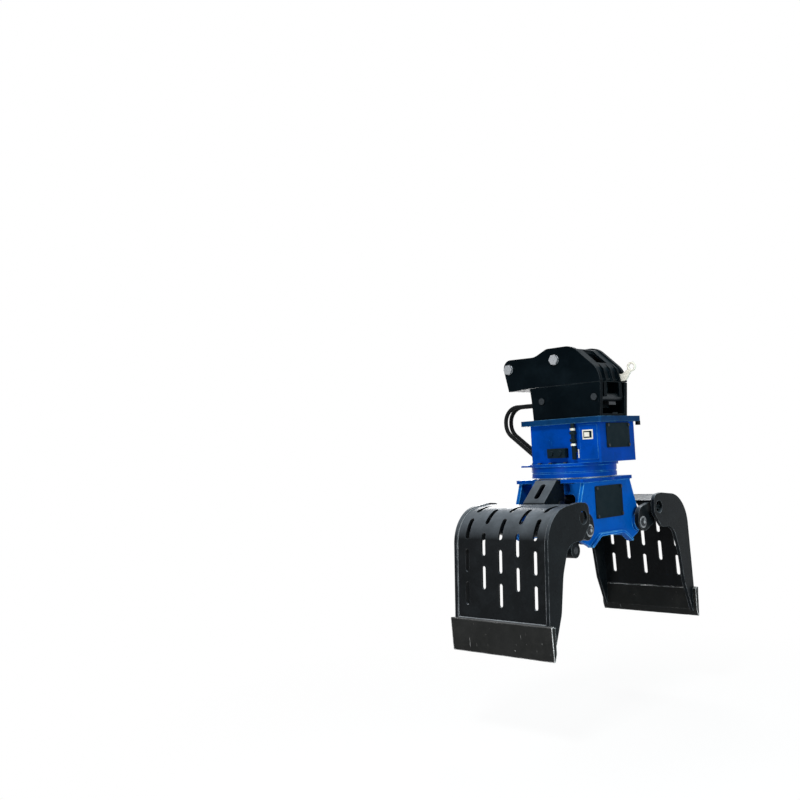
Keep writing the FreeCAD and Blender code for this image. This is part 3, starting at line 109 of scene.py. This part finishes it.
# Ends of the shells' hinge pins: profiles of (distance along the pin, radius)
ring_profile = ((0.0, 0.0255), (0.0, 0.034), (0.003, 0.0335), (0.003, 0.0255))
ring_sides = 40
bolt_profile = ((0.0, 0.0105), (0.005, 0.0105), (0.0065, 0.008))
bolt_sides = 6
nipple_profile = ((0.0, 0.004), (0.004, 0.004), (0.006, 0.0025), (0.009, 0.003))
nipple_sides = 12
nipple_offset = 0.0165
pin_reach = 0.007

# Weld beads
bead_sides = 8
ripple_pitch = 0.9
ripple_dip = 0.78
frame_bead = 0.005
thin_bead = 0.004
skin_bead = 0.0042
blade_bead = 0.0055
bead_end_gap = 0.01
blade_bead_half = 0.28

# Outside of a shell's skin as (x, z), moved in from the side plates' edge
skin_inset = 0.006
skin_edge = 0.285
skin_start = (0.747 - skin_inset, slew_z - 0.733)
skin_corner = (0.716 - skin_inset, slew_z - 0.178 - skin_inset)
skin_crest = (0.445 - skin_inset, slew_z - 0.150 - skin_inset)
skin_bend = 0.2 - skin_inset
bend_steps = 12
seam_overlap = 0.001
blade_seam_shift = (0.004, 0.002)

# Stop under the rear end of the head's top plate
stop_x = (0.178, 0.206)
stop_length = 0.016
stop_height = 0.022

# Floor, background and light
floor_reach = 14.0
floor_drop = 0.45
floor_grey = (0.78, 0.78, 0.78, 1)
plain_white = (1, 1, 1, 1)
white_near = 0.9
white_far = 2.6
white_share = 0.91
sky_tint = (0.95, 0.97, 1.0, 1)
world_light = 0.22
lamp_target = Vector((0, slew_y, -0.8))


# Materials

# Grains of noise: scale, detail, roughness and stretch, the last ones left out where they are the usual
cloud_grain = (5.0, 5.0)
grime_grain = (9.0, 8.0, 0.7)
sheen_grain = (7.0, 6.0)
patch_grain = (13.0, 6.0, 0.7)
chip_grain = (34.0, 7.0, 0.8)
scratch_grain = (18.0, 3.0, 0.5, (1.0, 7.0, 0.5))
gloss_grain = (22.0, 6.0)
peel_grain = (240.0, 2.0)
stain_grain = (14.0, 8.0, 0.7)
wrap_grain = (140.0, 3.0, 0.6, (1.0, 1.0, 4.0))

# Ranges of a value: low, high, level at low and level at high, with levels 0 and 1 where they are left out
cloud_range = (0.35, 0.7)
grime_range = (0.5, 0.8, 0.0, 0.6)
upward_range = (0.2, 0.95)
sheen_range = (0.3, 0.65, 0.45, 1.0)
rim_range = (0.02, 0.14)
patch_range = (0.4, 0.62, 0.1, 1.0)
metal_range = (0.3, 0.9, 0.0, 0.4)
line_range = (0.35, 0.65)
steel_rim_range = (0.03, 0.2)
gloss_range = (0.3, 0.7)

# Chips and scratches start lower on the noise where the paint is more worn
chip_start = 0.715
chip_width = 0.03
chip_level = 0.5
chip_wear = 0.04
scratch_start = 0.75
scratch_width = 0.04
scratch_level = 0.35
scratch_wear = 0.03

paint_smooth = 0.07
paint_rough = 0.12
paint_bump = (0.1, 0.0005)
steel_line_scale = 90.0
steel_line_detail = 3.0
steel_line_roughness = 0.5
stain_low = 0.55
stain_high = 0.75
steel_rim = 0.003
steel_rim_level = 0.6
steel_metallic = 0.85
steel_smooth = 0.06
steel_rough = 0.1
steel_bump = (0.1, 0.0004)
rubber_dark = (0.0025, 0.003, 0.0034)
rubber_pale = (0.006, 0.0068, 0.0075)
rubber_gloss = (0.45, 0.62)
rubber_specular = 0.06
rubber_bump = (0.15, 0.0005)
bevel_samples = 6

# Colour sockets of a Mix node
mix_first = 6
mix_second = 7
mix_colour = 2


def new_tree(name, kind):
    """Node material with its output and one shader node of a kind."""
    material = bpy.data.materials.new(name)
    material.use_nodes = True
    tree = material.node_tree
    tree.nodes.clear()
    output = tree.nodes.new("ShaderNodeOutputMaterial")
    shader = tree.nodes.new(kind)
    tree.links.new(shader.outputs[0], output.inputs["Surface"])
    return material, tree, shader


def node(tree, kind, **values):
    """Adds a node and sets its properties and unlinked inputs."""
    made = tree.nodes.new(kind)
    for key, value in values.items():
        if key in made.inputs:
            made.inputs[key].default_value = value
        else:
            setattr(made, key, value)
    return made


def noise(tree, scale, detail=4.0, roughness=0.6, stretch=(1, 1, 1)):
    """Noise over the object's own coordinates, stretched along its axes."""
    place = node(tree, "ShaderNodeTexCoord")
    mapping = node(tree, "ShaderNodeMapping", Scale=stretch)
    texture = node(tree, "ShaderNodeTexNoise", Scale=scale, Detail=detail, Roughness=roughness)
    tree.links.new(place.outputs["Object"], mapping.inputs["Vector"])
    tree.links.new(mapping.outputs["Vector"], texture.inputs["Vector"])
    return texture.outputs["Fac"]


def ramp(tree, value, low, high, low_level=0.0, high_level=1.0):
    """Value mapped from low..high to low_level..high_level, clamped."""
    mapped = node(tree, "ShaderNodeMapRange")
    mapped.inputs["From Min"].default_value = low
    mapped.inputs["From Max"].default_value = high
    mapped.inputs["To Min"].default_value = low_level
    mapped.inputs["To Max"].default_value = high_level
    tree.links.new(value, mapped.inputs["Value"])
    return mapped.outputs["Result"]


def combine(tree, operation, first, second):
    """Mathematics on two values; the second may be a number."""
    made = node(tree, "ShaderNodeMath", operation=operation)
    tree.links.new(first, made.inputs[0])
    if isinstance(second, (int, float)):
        made.inputs[1].default_value = second
    else:
        tree.links.new(second, made.inputs[1])
    return made.outputs[0]


def blended(tree, factor, first, second):
    """Colour mixed from first to second by a factor; either may be a socket."""
    mix = node(tree, "ShaderNodeMix", data_type="RGBA")
    tree.links.new(factor, mix.inputs["Factor"])
    for value, socket in ((first, mix.inputs[mix_first]), (second, mix.inputs[mix_second])):
        if isinstance(value, tuple):
            socket.default_value = (*value, 1.0)
        else:
            tree.links.new(value, socket)
    return mix.outputs[mix_colour]


def edge_mask(tree, radius, low, high):
    """Mask that is 1 along sharp edges: how far a rounded normal leans from the true one."""
    bevel = node(tree, "ShaderNodeBevel", samples=bevel_samples, Radius=radius)
    geometry = node(tree, "ShaderNodeNewGeometry")
    dot = node(tree, "ShaderNodeVectorMath", operation="DOT_PRODUCT")
    tree.links.new(bevel.outputs["Normal"], dot.inputs[0])
    tree.links.new(geometry.outputs["Normal"], dot.inputs[1])
    lean = combine(tree, "SUBTRACT", dot.outputs["Value"], 1.0)
    lean = combine(tree, "ABSOLUTE", lean, 0.0)
    return ramp(tree, lean, low, high)


def bumped(tree, shader, height, strength, distance):
    """Bump on a shader from a height."""
    bump = node(tree, "ShaderNodeBump", Strength=strength, Distance=distance)
    tree.links.new(height, bump.inputs["Height"])
    tree.links.new(bump.outputs["Normal"], shader.inputs["Normal"])


def facing_up(tree, low, high):
    """1 on faces that look up in the piece's own frame, 0 on upright ones."""
    place = node(tree, "ShaderNodeTexCoord")
    parts = node(tree, "ShaderNodeSeparateXYZ")
    tree.links.new(place.outputs["Normal"], parts.inputs[0])
    return ramp(tree, parts.outputs["Z"], low, high)


def wear_mask(tree, wear, edge):
    """Mask of patchy worn edges, chips and scratches, stronger with more wear; along the edges it also
    carries a painted highlight.
    """
    rim = edge_mask(tree, edge, *rim_range)
    patchy = ramp(tree, noise(tree, *patch_grain), *patch_range)
    chip_low = chip_start - chip_wear * wear
    chips = ramp(tree, noise(tree, *chip_grain), chip_low, chip_low + chip_width, 0.0, chip_level)
    scratch_low = scratch_start - scratch_wear * wear
    grain = noise(tree, *scratch_grain)
    scratch = ramp(tree, grain, scratch_low, scratch_low + scratch_width, 0.0, scratch_level)
    worn = combine(tree, "MULTIPLY", rim, patchy)
    worn = combine(tree, "MAXIMUM", worn, chips)
    worn = combine(tree, "MAXIMUM", worn, scratch)
    return combine(tree, "MULTIPLY", worn, wear)


def worn_paint(name, paint, shade, bare_and_highlight, grime, painted_top_sheen, roughness, wear, specular, edge):
    """Sprayed paint with cloudy colour, worn edges of bared metal that are partly a painted highlight, a
    few scratches, and a painted sheen on its upper faces that stands in for reflected sky.
    """
    material, tree, shader = new_tree(name, "ShaderNodeBsdfPrincipled")
    cloud = ramp(tree, noise(tree, *cloud_grain), *cloud_range)
    colour = blended(tree, cloud, paint, shade)
    stained = ramp(tree, noise(tree, *grime_grain), *grime_range)
    colour = blended(tree, stained, colour, grime)
    # Painted sheen: upward faces are lightened towards a paler colour that stands in for reflected sky.
    upward = facing_up(tree, *upward_range)
    sheen_mask = combine(tree, "MULTIPLY", upward, ramp(tree, noise(tree, *sheen_grain), *sheen_range))
    colour = blended(tree, sheen_mask, colour, painted_top_sheen)
    # Edges, chips and scratches take the edge colour: partly worn metal, partly a painted highlight along
    # the plate edges.
    worn = wear_mask(tree, wear, edge)
    colour = blended(tree, worn, colour, bare_and_highlight)
    tree.links.new(colour, shader.inputs["Base Color"])
    gloss = (roughness - paint_smooth, roughness + paint_rough)
    rough = ramp(tree, noise(tree, *gloss_grain), *gloss_range, *gloss)
    tree.links.new(rough, shader.inputs["Roughness"])
    tree.links.new(ramp(tree, worn, *metal_range), shader.inputs["Metallic"])
    shader.inputs["Specular IOR Level"].default_value = specular
    peel = combine(tree, "ADD", noise(tree, *peel_grain), worn)
    bumped(tree, shader, peel, *paint_bump)
    return material


def bare_steel(name, light, dark, rust, rust_level, roughness, stretch):
    """Bare machined or worn steel: directional grain, dark marks and some rust."""
    material, tree, shader = new_tree(name, "ShaderNodeBsdfPrincipled")
    lines = noise(tree, steel_line_scale, steel_line_detail, steel_line_roughness, stretch)
    colour = blended(tree, ramp(tree, lines, *line_range), light, dark)
    stain = ramp(tree, noise(tree, *stain_grain), stain_low, stain_high, 0.0, rust_level)
    colour = blended(tree, stain, colour, rust)
    rim = combine(tree, "MULTIPLY", edge_mask(tree, steel_rim, *steel_rim_range), steel_rim_level)
    colour = blended(tree, rim, colour, light)
    tree.links.new(colour, shader.inputs["Base Color"])
    shader.inputs["Metallic"].default_value = steel_metallic
    gloss = (roughness - steel_smooth, roughness + steel_rough)
    tree.links.new(ramp(tree, lines, *gloss_range, *gloss), shader.inputs["Roughness"])
    bumped(tree, shader, lines, *steel_bump)
    return material


def hose_rubber(name):
    """Black hose rubber with a faint wrapped texture."""
    material, tree, shader = new_tree(name, "ShaderNodeBsdfPrincipled")
    wrap = noise(tree, *wrap_grain)
    colour = blended(tree, ramp(tree, wrap, *gloss_range), rubber_dark, rubber_pale)
    tree.links.new(colour, shader.inputs["Base Color"])
    tree.links.new(ramp(tree, wrap, *gloss_range, *rubber_gloss), shader.inputs["Roughness"])
    shader.inputs["Specular IOR Level"].default_value = rubber_specular
    bumped(tree, shader, wrap, *rubber_bump)
    return material


# In each paint below, the colour for upward faces is a painted sheen of reflected sky.
shell_black = worn_paint(
    "shell_black",
    paint=(0.0042, 0.0056, 0.0068),
    shade=(0.007, 0.0088, 0.0104),
    bare_and_highlight=(0.24, 0.25, 0.265),
    grime=(0.011, 0.014, 0.0165),
    painted_top_sheen=(0.12, 0.14, 0.16),
    roughness=0.28,
    wear=0.8,
    specular=0.04,
    edge=0.005,
)
skin_black = worn_paint(
    "skin_black",
    paint=(0.003, 0.0038, 0.0044),
    shade=(0.0055, 0.0065, 0.0075),
    bare_and_highlight=(0.11, 0.12, 0.13),
    grime=(0.011, 0.0135, 0.0155),
    painted_top_sheen=(0.13, 0.15, 0.17),
    roughness=0.28,
    wear=0.45,
    specular=0.05,
    edge=0.003,
)
hitch_black = worn_paint(
    "hitch_black",
    paint=(0.0003, 0.0016, 0.0026),
    shade=(0.0015, 0.0036, 0.0052),
    bare_and_highlight=(0.07, 0.085, 0.095),
    grime=(0.004, 0.008, 0.011),
    painted_top_sheen=(0.013, 0.021, 0.027),
    roughness=0.3,
    wear=0.5,
    specular=0.02,
    edge=0.004,
)
# On the blue paints the light-blue edge colour is mostly a painted highlight along the plate edges, with
# some real chipping.
blue_paint = worn_paint(
    "blue_paint",
    paint=(0.0, 0.042, 0.29),
    shade=(0.0, 0.033, 0.2),
    bare_and_highlight=(0.06, 0.28, 0.52),
    grime=(0.0, 0.014, 0.05),
    painted_top_sheen=(0.002, 0.1, 0.42),
    roughness=0.3,
    wear=0.9,
    specular=0.015,
    edge=0.005,
)
# The yoke's wider, lighter edges carry more of this painted edge highlight.
yoke_blue = worn_paint(
    "yoke_blue",
    paint=(0.0, 0.076, 0.38),
    shade=(0.0, 0.062, 0.28),
    bare_and_highlight=(0.1, 0.4, 0.7),
    grime=(0.0, 0.03, 0.1),
    painted_top_sheen=(0.003, 0.12, 0.44),
    roughness=0.3,
    wear=1.3,
    specular=0.015,
    edge=0.009,
)
# Much lighter blue for the yoke's webs: painted light, standing in for the light that the flange above
# keeps off them.
painted_lit_web_blue = worn_paint(
    "painted_lit_web_blue",
    paint=(0.005, 0.15, 0.7),
    shade=(0.002, 0.12, 0.5),
    bare_and_highlight=(0.2, 0.45, 0.75),
    grime=(0.0, 0.09, 0.3),
    painted_top_sheen=(0.005, 0.15, 0.6),
    roughness=0.3,
    wear=0.8,
    specular=0.03,
    edge=0.005,
)
darker_top_blue = worn_paint(
    "darker_top_blue",
    paint=(0.001, 0.018, 0.06),
    shade=(0.003, 0.032, 0.105),
    bare_and_highlight=(0.1, 0.3, 0.45),
    grime=(0.001, 0.008, 0.022),
    painted_top_sheen=(0.004, 0.06, 0.16),
    roughness=0.34,
    wear=0.9,
    specular=0.02,
    edge=0.004,
)
cover_grey = worn_paint(
    "cover_grey",
    paint=(0.0032, 0.0085, 0.0115),
    shade=(0.006, 0.012, 0.0155),
    bare_and_highlight=(0.04, 0.06, 0.075),
    grime=(0.011, 0.017, 0.021),
    painted_top_sheen=(0.025, 0.034, 0.042),
    roughness=0.5,
    wear=0.4,
    specular=0.03,
    edge=0.003,
)
pale_paint = worn_paint(
    "pale_paint",
    paint=(0.62, 0.6, 0.54),
    shade=(0.5, 0.47, 0.4),
    bare_and_highlight=(0.35, 0.34, 0.32),
    grime=(0.3, 0.27, 0.2),
    painted_top_sheen=(0.6, 0.58, 0.52),
    roughness=0.4,
    wear=0.5,
    specular=0.3,
    edge=0.003,
)
seam_grey = worn_paint(
    "seam_grey",
    paint=(0.075, 0.082, 0.09),
    shade=(0.02, 0.023, 0.026),
    bare_and_highlight=(0.5, 0.52, 0.54),
    grime=(0.012, 0.014, 0.016),
    painted_top_sheen=(0.3, 0.32, 0.34),
    roughness=0.3,
    wear=1.2,
    specular=0.1,
    edge=0.006,
)
wear_steel = worn_paint(
    "wear_steel",
    paint=(0.0085, 0.009, 0.0088),
    shade=(0.014, 0.0145, 0.0143),
    bare_and_highlight=(0.8, 0.8, 0.8),
    grime=(0.024, 0.024, 0.023),
    painted_top_sheen=(0.12, 0.12, 0.12),
    roughness=0.34,
    wear=1.1,
    specular=0.05,
    edge=0.008,
)
bright_steel = bare_steel(
    "bright_steel",
    light=(0.38, 0.4, 0.42),
    dark=(0.2, 0.21, 0.225),
    rust=(0.14, 0.1, 0.07),
    rust_level=0.2,
    roughness=0.42,
    stretch=(1, 1, 8),
)
dark_steel = bare_steel(
    "dark_steel",
    light=(0.05, 0.055, 0.062),
    dark=(0.02, 0.022, 0.026),
    rust=(0.03, 0.026, 0.022),
    rust_level=0.3,
    roughness=0.42,
    stretch=(2, 2, 2),
)
bolt_steel = bare_steel(
    "bolt_steel",
    light=(0.03, 0.036, 0.042),
    dark=(0.014, 0.018, 0.021),
    rust=(0.02, 0.022, 0.024),
    rust_level=0.3,
    roughness=0.45,
    stretch=(2, 2, 2),
)
bronze = bare_steel(
    "bronze",
    light=(0.6, 0.4, 0.18),
    dark=(0.4, 0.26, 0.11),
    rust=(0.2, 0.12, 0.06),
    rust_level=0.2,
    roughness=0.35,
    stretch=(4, 4, 4),
)
chrome = bare_steel(
    "chrome",
    light=(0.8, 0.8, 0.82),
    dark=(0.7, 0.7, 0.72),
    rust=(0.3, 0.28, 0.25),
    rust_level=0.1,
    roughness=0.12,
    stretch=(1, 6, 6),
)
rubber = hose_rubber("hose_rubber")

by_slot = {
    "black_paint": shell_black,
    "hitch_paint": hitch_black,
    "blue_paint": blue_paint,
    "dark_cover": cover_grey,
    "pin_steel": bright_steel,
    "bolt_steel": bolt_steel,
    "wear_steel": wear_steel,
    "pale_steel": pale_paint,
    "bronze": bronze,
    "cast": hitch_black,
    "chrome_rod": chrome,
    "hose_rubber": rubber,
}
slot_of = {part["node"]: part["material_slot"] for part in frame["record"]["subparts"]}

# Nodes that differ from their slot: the shells' pins are dark, their skins less worn than the rims,
# the head's top plate is a darker blue and the yoke is a lighter blue than the head
own_finish = {
    "hinge_pins": dark_steel,
    "left_pins": dark_steel,
    "right_pins": dark_steel,
    "lock_bar": dark_steel,
    "left_skin": skin_black,
    "right_skin": skin_black,
    "head_top_plate": darker_top_blue,
    "yoke_plates": yoke_blue,
    "yoke_belly": yoke_blue,
    # The webs' lighter blue is painted light where the flange shades them.
    "yoke_webs": painted_lit_web_blue,
}


def dress(piece, material):
    """Gives a piece one material."""
    piece.data.materials.clear()
    piece.data.materials.append(material)


for name, piece in frame["nodes"].items():
    dress(piece, own_finish.get(name, by_slot[slot_of[name]]))


# Trim

def placed_mesh(name, vertices, faces, material, body, smooth=False):
    """Mesh of its own on a body, with one finish."""
    mesh = bpy.data.meshes.new(name)
    mesh.from_pydata(vertices, [], faces)
    mesh.validate()
    if smooth:
        for face in mesh.polygons:
            face.use_smooth = True
    piece = bpy.data.objects.new(name, mesh)
    scene.collection.objects.link(piece)
    dress(piece, material)
    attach(piece, body)


def block(name, low, high, material, body):
    """Box between two corners."""
    corners = [(x, y, z) for x in (low[0], high[0]) for y in (low[1], high[1]) for z in (low[2], high[2])]
    faces = [(0, 1, 3, 2), (4, 6, 7, 5), (0, 4, 5, 1), (2, 3, 7, 6), (0, 2, 6, 4), (1, 5, 7, 3)]
    placed_mesh(name, corners, faces, material, body)


def ring_around(centre, axis, radius, count):
    """Points of a circle about an axis."""
    side = axis.orthogonal().normalized()
    other = axis.cross(side).normalized()
    turns = [2 * math.pi * k / count for k in range(count)]
    return [tuple(centre + side * radius * math.cos(t) + other * radius * math.sin(t)) for t in turns]


def tube_faces(rows, count):
    """Faces between rows of points in rings, with a cap at each end."""
    faces = []
    for start in range(0, (rows - 1) * count, count):
        for k in range(count):
            after = (k + 1) % count
            faces.append((start + k, start + after, start + count + after, start + count + k))
    faces.append(tuple(range(count))[::-1])
    faces.append(tuple(range((rows - 1) * count, rows * count)))
    return faces


def turned_piece(name, centre, axis, profile, count, material, body):
    """Piece turned about an axis from a profile of (distance along it, radius)."""
    centre = Vector(centre)
    axis = Vector(axis).normalized()
    vertices = []
    for along, radius in profile:
        vertices += ring_around(centre + axis * along, axis, radius, count)
    placed_mesh(name, vertices, tube_faces(len(profile), count), material, body)


def weld_bead(name, points, radius, material, body):
    """Rippled bead of weld along a line of points."""
    points = [Vector(point) for point in points]
    dense = []
    for first, last in zip(points, points[1:]):
        steps = max(2, int((last - first).length / (radius * ripple_pitch)))
        dense += [first.lerp(last, k / steps) for k in range(steps)]
    dense.append(points[-1])
    vertices = []
    for k, here in enumerate(dense):
        ahead = (dense[min(k + 1, len(dense) - 1)] - dense[max(k - 1, 0)]).normalized()
        swell = radius * (1.0 if k % 2 else ripple_dip)
        vertices += ring_around(here, ahead, swell, bead_sides)
    placed_mesh(name, vertices, tube_faces(len(dense), bead_sides), material, body, smooth=True)


def blank_plate():
    """Small framed plate without words, with a pale panel in its dark field."""
    low = (cover_x - frame_thickness, plate_rear, plate_low)
    high = (cover_x, plate_front, plate_high)
    block("plate_frame", low, high, pale_paint, "hitch")
    low = (cover_x - field_reach, plate_rear + plate_border, plate_low + plate_border)
    high = (cover_x - field_sink, plate_front - plate_border, plate_high - plate_border)
    block("plate_field", low, high, cover_grey, "hitch")
    low = (cover_x - panel_reach, plate_rear + panel_rear_inset, plate_low + panel_edge_inset)
    high = (cover_x - panel_sink, plate_front - panel_front_inset, plate_high - panel_edge_inset)
    block("plate_panel", low, high, pale_paint, "hitch")


def pipe_collars():
    """Two pale clips on the steel pipe and a pale strap beside it."""
    bore = pipe_radius + collar_play
    half = collar_half
    profile = ((-half, bore), (-half, collar_radius), (half, collar_radius), (half, bore))
    upright = (0, 0, 1)
    for k, z in enumerate(collar_heights):
        name = f"pipe_collar_{k}"
        centre = (pipe_x, pipe_y, z)
        turned_piece(name, centre, upright, profile, collar_sides, pale_paint, "hitch")
    low = (wall_x - strap_thickness, strap_rear, strap_low)
    high = (wall_x, strap_rear + strap_width, strap_high)
    block("wall_strap", low, high, pale_paint, "hitch")


def hinge_ends():
    """Bright ring, domed bolt and grease nipple on each end of the shells' hinge pins."""
    for shell, x in (("left_shell", -hinge_x), ("right_shell", hinge_x)):
        for end, side in (("near", -1), ("far", 1)):
            face = slew_y + side * ear_face
            top = face + side * pin_reach
            above = hinge_z + nipple_offset
            ends = (
                ("ring", (x, face, hinge_z), ring_profile, ring_sides, shell, "pin_steel"),
                ("pin_bolt", (x, top, hinge_z), bolt_profile, bolt_sides, "yoke", "bolt_steel"),
                ("nipple", (x, top, above), nipple_profile, nipple_sides, "yoke", "bolt_steel"),
            )
            for kind, centre, profile, count, body, slot in ends:
                name = f"{shell}_{kind}_{end}"
                turned_piece(name, centre, (0, side, 0), profile, count, bright_steel, body)


def body_welds():
    """Straight weld beads of the head, the bracket and the yoke."""
    half = -wall_x
    for name, side in (("left", -1), ("right", 1)):
        x = side * bracket_x
        line = ((x, bracket_rear, head_top), (x, box_front, head_top))
        weld_bead(f"bracket_weld_{name}", line, frame_bead, hitch_black, "hitch")
        x = side * half
        line = ((x, box_rear + bead_end_gap, head_under_top), (x, box_front - bead_end_gap, head_under_top))
        weld_bead(f"head_top_weld_{name}", line, thin_bead, blue_paint, "hitch")
        y = slew_y + side * yoke_face
        line = ((-flange_half, y, flange_low), (flange_half, y, flange_low))
        weld_bead(f"yoke_top_weld_{name}", line, frame_bead, yoke_blue, "yoke")
    for name, y in (("rear", box_rear), ("front", box_front)):
        line = ((bead_end_gap - half, y, head_under_top), (half - bead_end_gap, y, head_under_top))
        weld_bead(f"head_top_weld_{name}", line, thin_bead, blue_paint, "hitch")


def skin_line():
    """Outside of the right shell's skin as (x, z), from the blade up round the bend to the crest."""
    start = Vector(skin_start)
    corner = Vector(skin_corner)
    crest = Vector(skin_crest)
    back = (start - corner).normalized()
    ahead = (crest - corner).normalized()
    half = back.angle(ahead) / 2
    reach = skin_bend / math.tan(half)
    centre = corner + (back + ahead).normalized() * (skin_bend / math.sin(half))
    first = corner + back * reach - centre
    last = corner + ahead * reach - centre
    shares = [k / bend_steps for k in range(bend_steps + 1)]
    arc = [centre + first.lerp(last, share).normalized() * skin_bend for share in shares]
    return [start] + arc + [crest]


def shell_welds():
    """Beads where the skins meet their side plates and their blades."""
    line = skin_line()
    along, up = blade_seam_shift
    for shell, side in (("right_shell", 1), ("left_shell", -1)):
        for end, across in (("near", -1), ("far", 1)):
            y = slew_y + across * (skin_edge - seam_overlap)
            points = [(side * p.x, y, p.y) for p in line]
            weld_bead(f"{shell}_seam_{end}", points, skin_bead, seam_grey, shell)
        x = side * (line[0].x + along)
        z = line[0].y + up
        points = ((x, slew_y - blade_bead_half, z), (x, slew_y + blade_bead_half, z))
        weld_bead(f"{shell}_blade_seam", points, blade_bead, seam_grey, shell)


def rear_stop():
    """Small dark stop under the rear end of the head's top plate."""
    low = (stop_x[0], top_plate_rear, head_under_top - stop_height)
    high = (stop_x[1], top_plate_rear + stop_length, head_under_top)
    block("top_plate_stop", low, high, hitch_black, "hitch")


blank_plate()
pipe_collars()
hinge_ends()
body_welds()
shell_welds()
rear_stop()


# Floor, backdrop and light

def seen_directly(tree):
    """1 for camera, mirror and glass rays, so that metal shows the same background as the camera."""
    path = node(tree, "ShaderNodeLightPath")
    seen = combine(tree, "MAXIMUM", path.outputs["Is Camera Ray"], path.outputs["Is Glossy Ray"])
    return combine(tree, "MAXIMUM", seen, path.outputs["Is Transmission Ray"])


def pale_floor():
    """Floor below the hanging grapple: nearly white where seen, with the object's soft shadow."""
    level = cad_box[0][2] - floor_drop
    mesh = bpy.data.meshes.new("floor")
    signs = ((-1, -1), (1, -1), (1, 1), (-1, 1))
    corners = [(along * floor_reach, across * floor_reach, level) for along, across in signs]
    mesh.from_pydata(corners, [], [(0, 1, 2, 3)])
    floor = bpy.data.objects.new("floor", mesh)
    scene.collection.objects.link(floor)
    material, tree, mix = new_tree("pale_floor", "ShaderNodeMixShader")
    plain = node(tree, "ShaderNodeBsdfDiffuse", Color=floor_grey)
    white = node(tree, "ShaderNodeEmission", Color=plain_white, Strength=1.0)
    place = node(tree, "ShaderNodeNewGeometry")
    away = node(tree, "ShaderNodeVectorMath", operation="DISTANCE")
    away.inputs[1].default_value = (0, slew_y, level)
    tree.links.new(place.outputs["Position"], away.inputs[0])
    share = ramp(tree, away.outputs["Value"], white_near, white_far, white_share, 1.0)
    factor = combine(tree, "MULTIPLY", seen_directly(tree), share)
    tree.links.new(factor, mix.inputs["Fac"])
    tree.links.new(plain.outputs[0], mix.inputs[1])
    tree.links.new(white.outputs[0], mix.inputs[2])
    dress(floor, material)


def light_area(name, place, size, power, tint=(1.0, 1.0, 1.0)):
    """Soft square lamp aimed at the grapple."""
    data = bpy.data.lights.new(name, "AREA")
    data.shape = "SQUARE"
    data.size = size
    data.energy = power
    data.color = tint
    lamp = bpy.data.objects.new(name, data)
    lamp.location = place
    aim = lamp_target - Vector(place)
    lamp.rotation_euler = aim.to_track_quat("-Z", "Y").to_euler()
    scene.collection.objects.link(lamp)


def white_world():
    """World that is white to the camera and lights the object at a plain level."""
    world = bpy.data.worlds.new("world")
    scene.world = world
    world.use_nodes = True
    tree = world.node_tree
    tree.nodes.clear()
    output = tree.nodes.new("ShaderNodeOutputWorld")
    seen = node(tree, "ShaderNodeBackground", Color=plain_white, Strength=1.0)
    lit = node(tree, "ShaderNodeBackground", Color=sky_tint, Strength=world_light)
    mix = node(tree, "ShaderNodeMixShader")
    tree.links.new(seen_directly(tree), mix.inputs["Fac"])
    tree.links.new(lit.outputs[0], mix.inputs[1])
    tree.links.new(seen.outputs[0], mix.inputs[2])
    tree.links.new(mix.outputs[0], output.inputs["Surface"])


pale_floor()
white_world()
light_area("key", place=(-3.4, -1.2, 2.8), size=1.0, power=170)
light_area("side", place=(-4.4, -0.3, -0.75), size=1.2, power=85)
light_area("fill", place=(-0.6, -4.6, 0.2), size=2.5, power=135, tint=(0.72, 0.97, 1.0))
light_area("rim", place=(2.4, 1.5, 2.2), size=1.5, power=80)
light_area("back", place=(3.8, 3.6, 0.4), size=2.5, power=130)


# Camera

def place_camera():
    """Camera at the photograph's viewpoint, turned by azimuth, elevation and roll."""
    data = bpy.data.cameras.new("camera")
    data.lens = camera_lens
    data.sensor_width = sensor_width
    camera = bpy.data.objects.new("camera", data)
    azimuth = Matrix.Rotation(math.radians(camera_azimuth), 4, "Z")
    elevation = Matrix.Rotation(math.pi / 2 - math.radians(camera_elevation), 4, "X")
    roll = Matrix.Rotation(math.radians(camera_roll), 4, "Z")
    camera.matrix_world = Matrix.Translation(camera_place) @ azimuth @ elevation @ roll
    scene.collection.objects.link(camera)
    scene.camera = camera


place_camera()
scene.view_settings.view_transform = "Standard"
